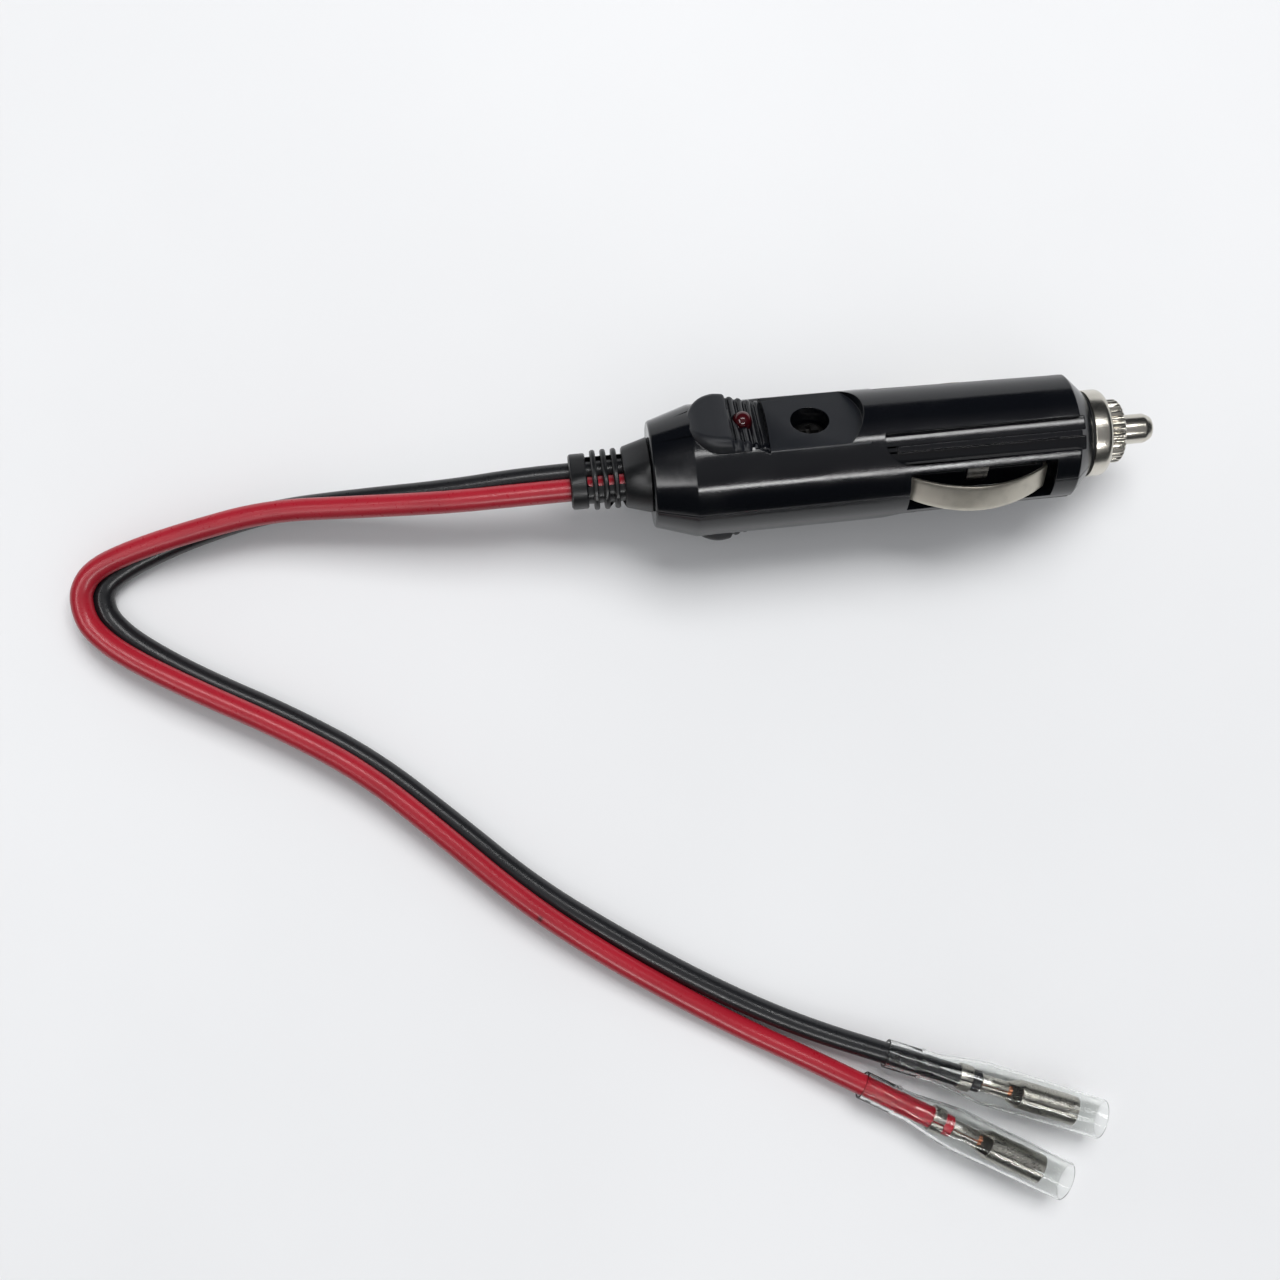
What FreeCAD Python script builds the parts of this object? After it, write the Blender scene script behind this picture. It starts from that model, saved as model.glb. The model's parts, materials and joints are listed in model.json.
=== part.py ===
import FreeCAD, Part
import math
import os
from FreeCAD import Placement, Rotation, Vector

# A 12 V lighter-socket plug lying on a table, with a bonded pair of leads that folds back once
# and ends in two sleeved bullet receptacles. Millimetres throughout.
# Plug pieces are drawn in the plug's own frame: X along its axis, 0 at the rear face of the
# housing and growing to the tip, Z out of the flat panel, Y across to a side contact. They are
# then rolled about the axis and lifted, so that the plug lies as it does on the table.

# Barrel and cone of the housing
BARREL_END = 68.2
CONE_LENGTH = 3.2
FRUSTUM_LENGTH = 6.7
REAR_RADIUS = 8.6
BARREL_RADIUS = 10.7
MID_RADIUS = 10.6
MID_STATION = 34.5
FRONT_RADIUS = 10.2
CONE_TIP_RADIUS = 6.95
REAR_EDGE_RADIUS = 0.5
BARREL_EDGE_ROUND = 0.6
WALL = 1.75
REAR_WALL = 2.0
CLEARANCE = 0.1
RUNNING_GAP = 0.15

# Flat panel, thumb grip and lamp
PANEL_HEIGHT = 8.6
PANEL_FRONT = 34.2
PANEL_FRONT_BULGE = 2.8
GRIP_START = 5.8
GRIP_FOOT_DEPTH = 1.9
GRIP_HEIGHT = 11.35
GRIP_HALF_WIDTH = 6.2
GRIP_CORNER = 1.4
GRIP_PEAK = 10.3
GRIP_REAR_LENGTH = 5.4
PAD_END_HEIGHT = 11.0
RAMP_START = 12.8
RAMP_END = 18.5
RAMP_TOP_HEIGHT = 10.65
RAMP_FOOT_HEIGHT = 8.75
RIB_PITCH = 1.43
RIB_COUNT = 4
RIB_GROOVE_RADIUS = 0.42
LAMP_STATION = 14.9
LAMP_RADIUS = 1.5
LAMP_FLANGE_RADIUS = 1.85
LAMP_FLANGE_HEIGHT = 0.8
LAMP_BODY_HEIGHT = 0.4
LAMP_PROUD = 1.35

# Housing screw
SCREW_STATION = 25.8
SCREW_RECESS_RADIUS = 3.1
SCREW_SEAT_HEIGHT = 4.4
SCREW_HEAD_RADIUS = 2.75
SCREW_HEAD_HEIGHT = 1.7
SCREW_SHANK_RADIUS = 1.3
SCREW_LENGTH = 9.0
SCREW_CROSS_WIDTH = 0.75
SCREW_CROSS_LENGTH = 3.3
SCREW_CROSS_DEPTH = 0.9
RECESS_WALL = 0.8
SHANK_BOSS_RADIUS = 2.4
BOSS_SINK = 0.2

# Four long pockets in the barrel, each with a raised rib
POCKET_START = 36.8
POCKET_HALF_WIDTH = 2.65
POCKET_END_RADIUS = 4.2
POCKET_FLOOR_RADIUS = 9.1
POCKET_RIB_START = 39.2
POCKET_RIB_HALF_WIDTH = 0.5
POCKET_RIB_RADIUS = 10.0
POCKET_ANGLE = 45.0

# Side contacts, their slots and the strap that joins them
SLOT_START = 40.7
SLOT_END = 64.4
SLOT_HALF_WIDTH = 3.9
SLOT_FLOOR = 5.8
SLOT_UNDERCUT = 1.6
SLOT_FRONT_UNDERCUT = 0.8
SLOT_SIDE_UNDERCUT = 0.5
SLOT_LIP_INNER = 9.35
CONTACT_THICKNESS = 0.45
CONTACT_APEX = 12.8
CONTACT_END_HEIGHT = 9.1
CONTACT_HALF_WIDTH = 2.6
CONTACT_END_HALF_WIDTH = 2.25
CONTACT_TRAVEL = 1.9
CONTACT_FLOOR_GAP = 0.05
CONTACT_FOOT_LENGTH = 3.0
CONTACT_REAR_GAP = 0.4
CONTACT_FRONT_GAP = 1.5
STRAP_START = 51.1
STRAP_WIDTH = 3.4
STRAP_THICKNESS = 0.5
STRAP_RADIUS = 6.2
STRAP_TAIL_START = 28.0
STRAP_TAIL_HALF_WIDTH = 1.2

# Nose: threaded cap, washer, contact tip
THREAD_RADIUS = 5.0
THREAD_LENGTH = 6.0
CAP_BORE_RADIUS = 3.75
CAP_RING_RADIUS = 7.1
CAP_RING_LENGTH = 2.0
CAP_ROUND = 1.15
CAP_COLLAR_RADIUS = 5.2
CAP_COLLAR_LENGTH = 2.65
CAP_COLLAR_CHAMFER = 0.3
CAP_FRONT_WALL = 0.85
KNURL_COUNT = 32
KNURL_DEPTH = 0.3
KNURL_GAP = 0.15
WASHER_THICKNESS = 0.3
WASHER_RADIUS = 6.75
TIP_RADIUS = 2.42
TIP_STEM_RADIUS = 1.9
TIP_STEM_PROUD = 0.3
TIP_PROUD = 6.1
TIP_DOME = 1.7
TIP_FLANGE_RADIUS = 3.2
TIP_FLANGE_THICKNESS = 1.2

# Fuse, its spring and the cup behind it
FUSE_BORE_RADIUS = 3.6
FUSE_LENGTH = 30.0
FUSE_RADIUS = 3.15
FUSE_CAP_LENGTH = 5.5
FUSE_CAP_WALL = 0.3
FUSE_GLASS_WALL = 0.6
FUSE_WIRE_RADIUS = 0.12
SPRING_LENGTH = 10.0
SPRING_RADIUS = 2.55
SPRING_WIRE_RADIUS = 0.3
SPRING_TURNS = 5.0
CUP_RADIUS = 3.4
CUP_WALL = 0.5
CUP_RIM = 1.6
CUP_TAIL_LENGTH = 3.6
CUP_TAIL_HALF_WIDTH = 1.0
CUP_TAIL_REACH = 6.5
PARTITION_START = 30.0

# Leads and strain relief
LEAD_RADIUS = 1.85
LEAD_GAP = 0.02
LEAD_WALL_GAP = 0.3
LEAD_STRAIGHT_END = 8.5
LEAD_SPREAD_STATION = 17.0
RELIEF_LENGTH = 13.1
RELIEF_END_LENGTH = 2.75
RELIEF_CORE_WIDTH = 8.6
RELIEF_CORE_THICKNESS = 5.6
RELIEF_END_WIDTH = 9.9
RELIEF_END_THICKNESS = 6.9
RELIEF_FIN_WIDTH = 10.6
RELIEF_FIN_THICKNESS = 7.6
RELIEF_FIN_LENGTH = 0.85
RELIEF_GROOVE_LENGTH = 0.85
RELIEF_FIN_COUNT = 3
RELIEF_FLARE_WIDTH = 12.6
RELIEF_FLARE_THICKNESS = 10.2
RELIEF_WINDOW_WIDTH = 7.0
RELIEF_NECK_RADIUS = 4.6
RELIEF_FLANGE_RADIUS = 6.1
RELIEF_FLANGE_LENGTH = 1.8
CHANNEL_CLEARANCE = 0.03

# Lamp legs and resistor
LEG_RADIUS = 0.25
LEG_SPREAD = 1.0
LEG_SWEEP = 0.4
RESISTOR_RADIUS = 0.95
RESISTOR_LENGTH = 3.4
RESISTOR_HEIGHT = 2.6
RESISTOR_START = 16.9

# Receptacles and sleeves at the far ends of the leads
SLEEVE_LENGTH = 39.5
SLEEVE_WIRE_RADIUS = 2.45
SLEEVE_FLARE_RADIUS = 3.65
SLEEVE_MOUTH_RADIUS = 3.4
SLEEVE_WALL = 0.45
SLEEVE_RIDGE = 0.18
SLEEVE_RIDGE_HALF_LENGTH = 0.6
SLEEVE_RIDGE_STATION = 6.3
SLEEVE_NECK_END = 9.2
SLEEVE_FLARE_END = 18.0
INSULATION_INSIDE = 17.0
INSULATION_PAST_WINGS = 1.7
BARREL_OUTER_RADIUS = 2.45
BARREL_BORE_RADIUS = 2.0
BARREL_LENGTH = 10.3
WING_LENGTH = 2.2
WING_THICKNESS = 0.4
CRIMP_GAP = 0.3
CRIMP_LENGTH = 4.7
CRIMP_OUTER_RADIUS = 1.45
NECK_LENGTH = 2.2
NECK_WINDOW_HALF_WIDTH = 1.5
NECK_WINDOW_HEIGHT = 0.4
WEB_HALF_WIDTH = 0.9
RISER_LENGTH = 0.4
SEAM_HALF_WIDTH = 0.14
STRAND_RADIUS = 0.34
STRAND_CIRCLE = 0.6
STRAND_COUNT = 6
STRAND_END_LENGTH = 0.9
STRAND_GAP = 0.02

# How the plug lies: the roll that turns its panel from straight up
ROLL = -42.5

# Routes of the two leads, from the strain relief to inside the sleeves
RED_ROUTE = [
    (-68.0, -1.4, 12.0), (-83.0, -0.6, 9.5),
    (-98.0, 0.3, 7.4), (-111.0, -1.8, 6.1), (-121.3, -4.1, 5.2), (-127.6, -6.4, 4.5),
    (-130.2, -9.6, 4.1), (-130.2, -13.2, 4.0), (-128.9, -16.5, 4.2), (-124.3, -20.9, 4.7),
    (-114.0, -27.4, 5.15), (-99.5, -35.7, 5.1), (-87.0, -44.3, 4.95), (-75.5, -55.7, 4.7),
    (-63.0, -68.7, 4.4), (-50.0, -79.5, 3.7), (-37.5, -88.6, 2.8), (-27.5, -95.4, 2.0),
    (-18.5, -100.6, 2.7), (-8.58, -106.59, 3.68)]
BLACK_ROUTE = [
    (-68.0, 0.7, 8.9), (-83.0, 0.8, 6.1),
    (-98.0, 0.5, 3.7), (-111.0, -2.3, 2.5), (-120.8, -5.6, 1.95), (-125.9, -8.3, 1.87),
    (-127.3, -10.5, 1.87), (-127.2, -12.8, 1.87), (-126.4, -15.1, 1.87), (-122.7, -19.2, 1.87),
    (-113.1, -25.9, 1.87), (-98.5, -34.1, 1.87), (-85.6, -42.9, 1.87), (-73.9, -54.1, 1.87),
    (-61.2, -66.9, 1.87), (-48.0, -77.0, 1.87), (-35.4, -85.7, 1.87), (-24.9, -92.1, 1.87),
    (-15.2, -97.0, 2.7), (-4.06, -101.62, 3.68)]
EXIT_RUN = 7.5
RED_SLEEVE_MOUTH = (26.26, -128.24, 3.68)
BLACK_SLEEVE_MOUTH = (32.59, -117.54, 3.68)

# Places worked out from the sizes above
CONE_END = BARREL_END + CONE_LENGTH
CAP_START = CONE_END + WASHER_THICKNESS
CAP_RING_END = CAP_START + CAP_RING_LENGTH + CAP_ROUND
CAP_FRONT = CAP_RING_END + CAP_COLLAR_LENGTH
TIP_END = CAP_FRONT + TIP_PROUD
FLANGE_END = CAP_RING_END - CAP_FRONT_WALL
FUSE_FRONT = FLANGE_END - TIP_FLANGE_THICKNESS
FUSE_REAR = FUSE_FRONT - FUSE_LENGTH
CUP_FLOOR = FUSE_REAR - SPRING_LENGTH
CUP_REAR = CUP_FLOOR - CUP_WALL
LEAD_OFFSET = LEAD_RADIUS + LEAD_GAP
LEAD_SPREAD = BARREL_RADIUS - WALL - LEAD_RADIUS - LEAD_WALL_GAP
CHAMBER_HALF_HEIGHT = PANEL_HEIGHT - WALL
RAMP_SLOPE = (RAMP_TOP_HEIGHT - RAMP_FOOT_HEIGHT) / (RAMP_END - RAMP_START)
STRIPPED = WING_LENGTH + INSULATION_PAST_WINGS
CRIMP_START = STRIPPED + CRIMP_GAP
CRIMP_END = CRIMP_START + CRIMP_LENGTH
TERMINAL_LENGTH = CRIMP_END + NECK_LENGTH + BARREL_LENGTH
FAR = 60.0


def axial(points, mids=None):
    """Face between the axis and an outline of (station, radius) points, turned about the axis.
    mids names the outline spans that are arcs, by index, with the point they pass through."""
    mids = mids or {}
    edges = []
    for index in range(len(points) - 1):
        start = Vector(points[index][0], 0, points[index][1])
        end = Vector(points[index + 1][0], 0, points[index + 1][1])
        if index in mids:
            middle = Vector(mids[index][0], 0, mids[index][1])
            edges.append(Part.Arc(start, middle, end).toShape())
        else:
            edges.append(Part.makeLine(start, end))
    first = Vector(points[0][0], 0, points[0][1])
    last = Vector(points[-1][0], 0, points[-1][1])
    if (last - first).Length > 1e-6:
        edges.append(Part.makeLine(last, first))
    face = Part.Face(Part.Wire(edges))
    return face.revolve(Vector(0, 0, 0), Vector(1, 0, 0), 360)


def rod(start, end, radius):
    """Cylinder along the plug's axis."""
    return Part.makeCylinder(radius, end - start, Vector(start, 0, 0), Vector(1, 0, 0))


def tube(start, end, outer, inner):
    return rod(start, end, outer).cut(rod(start - 1, end + 1, inner))


def block(x_range, y_range, z_range):
    return Part.makeBox(x_range[1] - x_range[0], y_range[1] - y_range[0], z_range[1] - z_range[0],
                        Vector(x_range[0], y_range[0], z_range[0]))


def upright(x, y, z_range, radius):
    """Cylinder along Z."""
    return Part.makeCylinder(radius, z_range[1] - z_range[0], Vector(x, y, z_range[0]))


def turned(shape, angle):
    """Copy of a shape, turned about the plug's axis."""
    copy = shape.copy()
    copy.rotate(Vector(0, 0, 0), Vector(1, 0, 0), angle)
    return copy


def arc_point(centre, radius, angle):
    return (centre[0] + radius * math.cos(angle), centre[1] + radius * math.sin(angle))


def barrel_body():
    """Outside of both shells before any feature is cut."""
    edge = REAR_EDGE_RADIUS
    outline = [(0, 0), (0, REAR_RADIUS - edge), (edge, REAR_RADIUS), (FRUSTUM_LENGTH, BARREL_RADIUS),
               (MID_STATION, MID_RADIUS), (BARREL_END, FRONT_RADIUS), (CONE_END, CONE_TIP_RADIUS),
               (CONE_END, 0)]
    bend = edge * (1 - math.sqrt(0.5))
    body = axial(outline, {1: (bend, REAR_RADIUS - bend)})
    rings = [ring for ring in body.Edges if ring.BoundBox.XLength < 0.01
             and any(abs(ring.BoundBox.XMin - x) < 0.01 for x in (FRUSTUM_LENGTH, BARREL_END))]
    return body.makeFillet(BARREL_EDGE_ROUND, rings)


def cross_section_rounded(half_width, height, corner, x_range):
    """Long bar with two rounded top corners, for the top of the pad."""
    left, right = -half_width, half_width
    inset = corner * (1 - math.sqrt(0.5))
    x = x_range[0]
    edges = [
        Part.makeLine(Vector(x, left, 0), Vector(x, left, height - corner)),
        Part.Arc(Vector(x, left, height - corner), Vector(x, left + inset, height - inset),
                 Vector(x, left + corner, height)).toShape(),
        Part.makeLine(Vector(x, left + corner, height), Vector(x, right - corner, height)),
        Part.Arc(Vector(x, right - corner, height), Vector(x, right - inset, height - inset),
                 Vector(x, right, height - corner)).toShape(),
        Part.makeLine(Vector(x, right, height - corner), Vector(x, right, 0)),
        Part.makeLine(Vector(x, right, 0), Vector(x, left, 0))]
    return Part.Face(Part.Wire(edges)).extrude(Vector(x_range[1] - x, 0, 0))


def grip_plan():
    """Outline of the pad seen along Z: straight flanks and a rear that is half an ellipse."""
    half, length = GRIP_HALF_WIDTH, GRIP_REAR_LENGTH
    centre = Vector(GRIP_START + length, 0, 0)
    ellipse = Part.Ellipse(Vector(centre.x, half, 0), centre - Vector(length, 0, 0), centre)
    rear = Part.ArcOfEllipse(ellipse, 0, math.pi)
    corners = [rear.EndPoint, Vector(RAMP_START, rear.EndPoint.y, 0),
               Vector(RAMP_START, rear.StartPoint.y, 0), rear.StartPoint]
    edges = [rear.toShape()]
    for start, end in zip(corners, corners[1:]):
        edges.append(Part.makeLine(start, end))
    return Part.Face(Part.Wire(edges)).extrude(Vector(0, 0, FAR))


def side_prism(edges, points):
    """Prism along Y, as wide as the grip, over these edges and the corners that close them."""
    for start, end in zip(points, points[1:]):
        edges.append(Part.makeLine(Vector(start[0], 0, start[1]), Vector(end[0], 0, end[1])))
    prism = Part.Face(Part.Wire(edges)).extrude(Vector(0, 2 * GRIP_HALF_WIDTH, 0))
    prism.translate(Vector(0, -GRIP_HALF_WIDTH, 0))
    return prism


def grip():
    """Thumb grip: a crowned pad with a round rear, and the slope in front of it."""
    foot = BARREL_RADIUS - GRIP_FOOT_DEPTH
    rise = GRIP_HEIGHT - foot
    shoulder = Vector(GRIP_START + rise * 0.8, 0, GRIP_HEIGHT - rise * 0.08)
    corner = Vector(GRIP_START + rise * 0.2, 0, foot + rise * 0.6)
    crown = [Part.Arc(Vector(GRIP_START, 0, foot), corner, shoulder).toShape(),
             Part.Arc(shoulder, Vector(GRIP_PEAK, 0, GRIP_HEIGHT),
                      Vector(RAMP_START, 0, PAD_END_HEIGHT)).toShape()]
    pad = side_prism(crown, [(RAMP_START, PAD_END_HEIGHT), (RAMP_START, 0), (GRIP_START, 0),
                             (GRIP_START, foot)])
    bar = cross_section_rounded(GRIP_HALF_WIDTH, GRIP_HEIGHT, GRIP_CORNER, (0, RAMP_START))
    slope = side_prism([], [(RAMP_START, 0), (RAMP_START, RAMP_TOP_HEIGHT),
                            (RAMP_END, RAMP_FOOT_HEIGHT), (RAMP_END, 0), (RAMP_START, 0)])
    sloping = [edge for edge in slope.Edges
               if edge.BoundBox.ZMin > RAMP_FOOT_HEIGHT - 0.01 and edge.BoundBox.XLength > 1]
    return pad.common(bar).common(grip_plan()).fuse(slope.makeFillet(GRIP_CORNER, sloping))


def ramp_height(station):
    """Height of the rib tops at a station of the grip."""
    return RAMP_TOP_HEIGHT - (station - RAMP_START) * RAMP_SLOPE


def ramp_cut():
    """Space above the ribbed slope, with the grooves between its ribs."""
    corners = [Vector(RAMP_START, -FAR, RAMP_TOP_HEIGHT), Vector(RAMP_END, -FAR, RAMP_FOOT_HEIGHT),
               Vector(RAMP_END, -FAR, FAR), Vector(RAMP_START, -FAR, FAR)]
    space = Part.Face(Part.makePolygon(corners + corners[:1])).extrude(Vector(0, 2 * FAR, 0))
    for index in range(RIB_COUNT):
        station = RAMP_START + RIB_PITCH * (index + 0.1)
        space = space.fuse(Part.makeCylinder(
            RIB_GROOVE_RADIUS, 2 * FAR, Vector(station, -FAR, ramp_height(station)), Vector(0, 1, 0)))
    return space


def panel_cut():
    """Space above the flat panel, with its round front wall."""
    half_chord = math.sqrt(MID_RADIUS ** 2 - PANEL_HEIGHT ** 2)
    radius = (half_chord ** 2 + PANEL_FRONT_BULGE ** 2) / (2 * PANEL_FRONT_BULGE)
    space = block((RAMP_END - 0.4, PANEL_FRONT), (-FAR, FAR), (PANEL_HEIGHT, FAR))
    return space.common(upright(PANEL_FRONT - radius, 0, (0, FAR), radius).fuse(
        block((-FAR, PANEL_FRONT - radius), (-FAR, FAR), (0, FAR))))


def pocket():
    """One pocket along the barrel on the +Z side, with its rib left standing."""
    half, radius = POCKET_HALF_WIDTH, POCKET_END_RADIUS
    centre = (POCKET_START + radius, radius - half)
    sharp_angle = math.pi - math.asin((half - centre[1]) / radius)
    sharp = arc_point(centre, radius, sharp_angle)
    middle = arc_point(centre, radius, (sharp_angle + 1.5 * math.pi) / 2)
    end = CONE_END + 1
    top = FAR
    edges = [
        Part.Arc(Vector(sharp[0], sharp[1], 0), Vector(middle[0], middle[1], 0),
                 Vector(centre[0], -half, 0)).toShape(),
        Part.makeLine(Vector(centre[0], -half, 0), Vector(end, -half, 0)),
        Part.makeLine(Vector(end, -half, 0), Vector(end, half, 0)),
        Part.makeLine(Vector(end, half, 0), Vector(sharp[0], sharp[1], 0))]
    space = Part.Face(Part.Wire(edges)).extrude(Vector(0, 0, top))
    space = space.cut(rod(-1, FAR * 2, POCKET_FLOOR_RADIUS))
    rib_half = POCKET_RIB_HALF_WIDTH
    rib = block((POCKET_RIB_START, CONE_END + 2), (-rib_half, rib_half), (0, POCKET_RIB_RADIUS))
    rib = rib.fuse(upright(POCKET_RIB_START, 0, (0, POCKET_RIB_RADIUS), rib_half))
    return space.cut(rib)


def slot_cut():
    """Slot for one side contact on the +Y side, undercut at both ends."""
    mouth = block((SLOT_START, SLOT_END), (SLOT_FLOOR, FAR), (-SLOT_HALF_WIDTH, SLOT_HALF_WIDTH))
    half = CONTACT_HALF_WIDTH + SLOT_SIDE_UNDERCUT
    under = block((SLOT_START - SLOT_UNDERCUT, SLOT_END + SLOT_FRONT_UNDERCUT),
                  (SLOT_FLOOR, SLOT_LIP_INNER), (-half, half))
    return mouth.fuse(under)


def rear_chamber():
    """Room behind the partition for the leads, the lamp and the screw boss."""
    inner = BARREL_RADIUS - WALL
    room = axial([(REAR_WALL, 0), (REAR_WALL, REAR_RADIUS - WALL + 0.4), (FRUSTUM_LENGTH, inner),
                  (PARTITION_START, inner), (PARTITION_START, 0)])
    return room.common(block((0, FAR), (-FAR, FAR), (-CHAMBER_HALF_HEIGHT, CHAMBER_HALF_HEIGHT)))


def inside_cuts():
    """Everything hollow inside the housing, as one tool."""
    thread_start = CONE_END - THREAD_LENGTH - CLEARANCE
    cuts = rear_chamber()
    cuts = cuts.fuse(rod(CUP_REAR - CLEARANCE, CONE_END + 1, FUSE_BORE_RADIUS))
    cuts = cuts.fuse(rod(thread_start, CONE_END + 1, THREAD_RADIUS + CLEARANCE))
    cuts = cuts.fuse(rod(-1, REAR_WALL + 1, RELIEF_NECK_RADIUS + CHANNEL_CLEARANCE))
    strap_inner = STRAP_RADIUS - STRAP_THICKNESS - CLEARANCE
    cuts = cuts.fuse(tube(STRAP_START - CLEARANCE, STRAP_START + STRAP_WIDTH + CLEARANCE,
                          STRAP_RADIUS + CLEARANCE, strap_inner))
    half = STRAP_TAIL_HALF_WIDTH + CLEARANCE
    cuts = cuts.fuse(block((PARTITION_START - 1, STRAP_START), (strap_inner, STRAP_RADIUS + CLEARANCE),
                           (-half, half)))
    half = CUP_TAIL_HALF_WIDTH + CLEARANCE
    cuts = cuts.fuse(block((PARTITION_START - 1, CUP_FLOOR + CLEARANCE),
                           (-CUP_TAIL_REACH - CLEARANCE, 0), (-half, half)))
    return cuts


def housing_shells():
    """Both half shells, split on the plane through the axis and the side slots."""
    body = barrel_body()
    for side in (0, 180):
        body = body.fuse(turned(grip(), side))
    body = body.cut(inside_cuts())
    boss_end = CHAMBER_HALF_HEIGHT + BOSS_SINK
    body = body.fuse(upright(SCREW_STATION, 0, (-boss_end, boss_end), SHANK_BOSS_RADIUS))
    body = body.fuse(upright(SCREW_STATION, 0, (SCREW_SEAT_HEIGHT - WALL, boss_end),
                             SCREW_RECESS_RADIUS + RECESS_WALL))
    for side in (0, 180):
        body = body.cut(turned(ramp_cut(), side))
        body = body.cut(turned(panel_cut(), side))
        body = body.cut(turned(slot_cut(), side))
    mirrored = pocket().mirror(Vector(0, 0, 0), Vector(0, 1, 0))
    for side in (0, 180):
        body = body.cut(turned(pocket(), POCKET_ANGLE + side))
        body = body.cut(turned(mirrored, side - POCKET_ANGLE))
    body = body.cut(upright(SCREW_STATION, 0, (SCREW_SEAT_HEIGHT, FAR), SCREW_RECESS_RADIUS))
    shank_end = SCREW_SEAT_HEIGHT - SCREW_LENGTH - 0.5
    body = body.cut(upright(SCREW_STATION, 0, (shank_end, SCREW_SEAT_HEIGHT + 1),
                            SCREW_SHANK_RADIUS + CLEARANCE / 2))
    body = body.cut(upright(LAMP_STATION, 0, (0, FAR), LAMP_RADIUS + CLEARANCE / 2))
    upper = body.common(block((-1, 2 * FAR), (-FAR, FAR), (0, FAR)))
    lower = body.common(block((-1, 2 * FAR), (-FAR, FAR), (-FAR, 0)))
    return upper.removeSplitter(), lower.removeSplitter()


def housing_screw():
    head_top = SCREW_SEAT_HEIGHT + SCREW_HEAD_HEIGHT
    head = upright(SCREW_STATION, 0, (SCREW_SEAT_HEIGHT, head_top), SCREW_HEAD_RADIUS)
    head = head.makeFillet(0.6, [edge for edge in head.Edges if edge.BoundBox.ZMin > head_top - 0.01])
    shank = upright(SCREW_STATION, 0, (SCREW_SEAT_HEIGHT - SCREW_LENGTH, SCREW_SEAT_HEIGHT + 0.5),
                    SCREW_SHANK_RADIUS)
    screw = head.fuse(shank)
    long, wide = SCREW_CROSS_LENGTH / 2, SCREW_CROSS_WIDTH / 2
    for half_x, half_y in ((long, wide), (wide, long)):
        screw = screw.cut(block((SCREW_STATION - half_x, SCREW_STATION + half_x),
                                (-half_y, half_y), (head_top - SCREW_CROSS_DEPTH, head_top + 1)))
    return screw


def indicator_led():
    """Lamp with a flange under the wall, a barrel through it and a domed lens."""
    top = CHAMBER_HALF_HEIGHT - CLEARANCE
    bottom = top - LAMP_FLANGE_HEIGHT
    dome = ramp_height(LAMP_STATION) + LAMP_PROUD - LAMP_RADIUS
    lamp = upright(LAMP_STATION, 0, (bottom - LAMP_BODY_HEIGHT, dome), LAMP_RADIUS)
    lamp = lamp.fuse(upright(LAMP_STATION, 0, (bottom, top), LAMP_FLANGE_RADIUS))
    lamp = lamp.fuse(Part.makeSphere(LAMP_RADIUS, Vector(LAMP_STATION, 0, dome)))
    return lamp.removeSplitter()


def wire_path(points, radius):
    """Round bar along straight runs joined by tangent arcs, each as large as its runs allow."""
    corners = [Vector(*point) for point in points]
    edges = []
    radii = []
    last = corners[0]
    for before, corner, after in zip(corners, corners[1:], corners[2:]):
        into = (corner - before).normalize()
        out = (after - corner).normalize()
        turn = into.getAngle(out)
        back = 0.45 * min((corner - before).Length, (after - corner).Length)
        radii.append(back / math.tan(turn / 2))
        start = corner - into * back
        end = corner + out * back
        bulge = (out - into).normalize()
        middle_height = radii[-1] * (1 / math.cos(turn / 2) - 1)
        edges.append(Part.LineSegment(last, start).toShape())
        edges.append(Part.Arc(start, corner + bulge * middle_height, end).toShape())
        last = end
    edges.append(Part.LineSegment(last, corners[-1]).toShape())
    path = Part.Wire(edges)
    first = (corners[1] - corners[0]).normalize()
    section = Part.Wire([Part.makeCircle(radius, corners[0], first)])
    solid = path.makePipeShell([section], True, True, 1)
    return solid, path, radii


def led_leads():
    """Both legs of the lamp, one to the resistor and on to the red lead, one to the black."""
    bottom = CHAMBER_HALF_HEIGHT - CLEARANCE - LAMP_FLANGE_HEIGHT - LAMP_BODY_HEIGHT
    near, far = LAMP_STATION + LEG_SPREAD, LAMP_STATION - LEG_SPREAD
    resistor_end = RESISTOR_START + RESISTOR_LENGTH
    spread_slope = (LEAD_SPREAD - LEAD_OFFSET) / (LEAD_SPREAD_STATION - LEAD_STRAIGHT_END)
    lead_side = LEAD_OFFSET + spread_slope * (far - LEG_SWEEP - LEAD_STRAIGHT_END)
    legs = [
        [(near, 0, bottom), (near, 0, RESISTOR_HEIGHT), (RESISTOR_START, 0, RESISTOR_HEIGHT)],
        [(resistor_end, 0, RESISTOR_HEIGHT), (resistor_end + 0.8, 0, RESISTOR_HEIGHT),
         (resistor_end + 0.8, -LEAD_SPREAD + 1.6, LEAD_RADIUS - 0.2)],
        [(far, 0, bottom), (far, 0, bottom - 0.9), (far - LEG_SWEEP, lead_side, LEAD_RADIUS + 0.35)]]
    solids = [wire_path(leg, LEG_RADIUS)[0] for leg in legs]
    return Part.makeCompound(solids)


def led_resistor():
    end = RESISTOR_START + RESISTOR_LENGTH
    waist = RESISTOR_RADIUS - 0.2
    bead = RESISTOR_LENGTH / 4
    body = axial([(RESISTOR_START, 0), (RESISTOR_START, RESISTOR_RADIUS - 0.25),
                  (RESISTOR_START + 0.3, RESISTOR_RADIUS), (RESISTOR_START + bead, RESISTOR_RADIUS),
                  (RESISTOR_START + bead + 0.2, waist), (end - bead - 0.2, waist),
                  (end - bead, RESISTOR_RADIUS), (end - 0.3, RESISTOR_RADIUS),
                  (end, RESISTOR_RADIUS - 0.25), (end, 0)])
    body.translate(Vector(0, 0, RESISTOR_HEIGHT))
    return body


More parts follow.
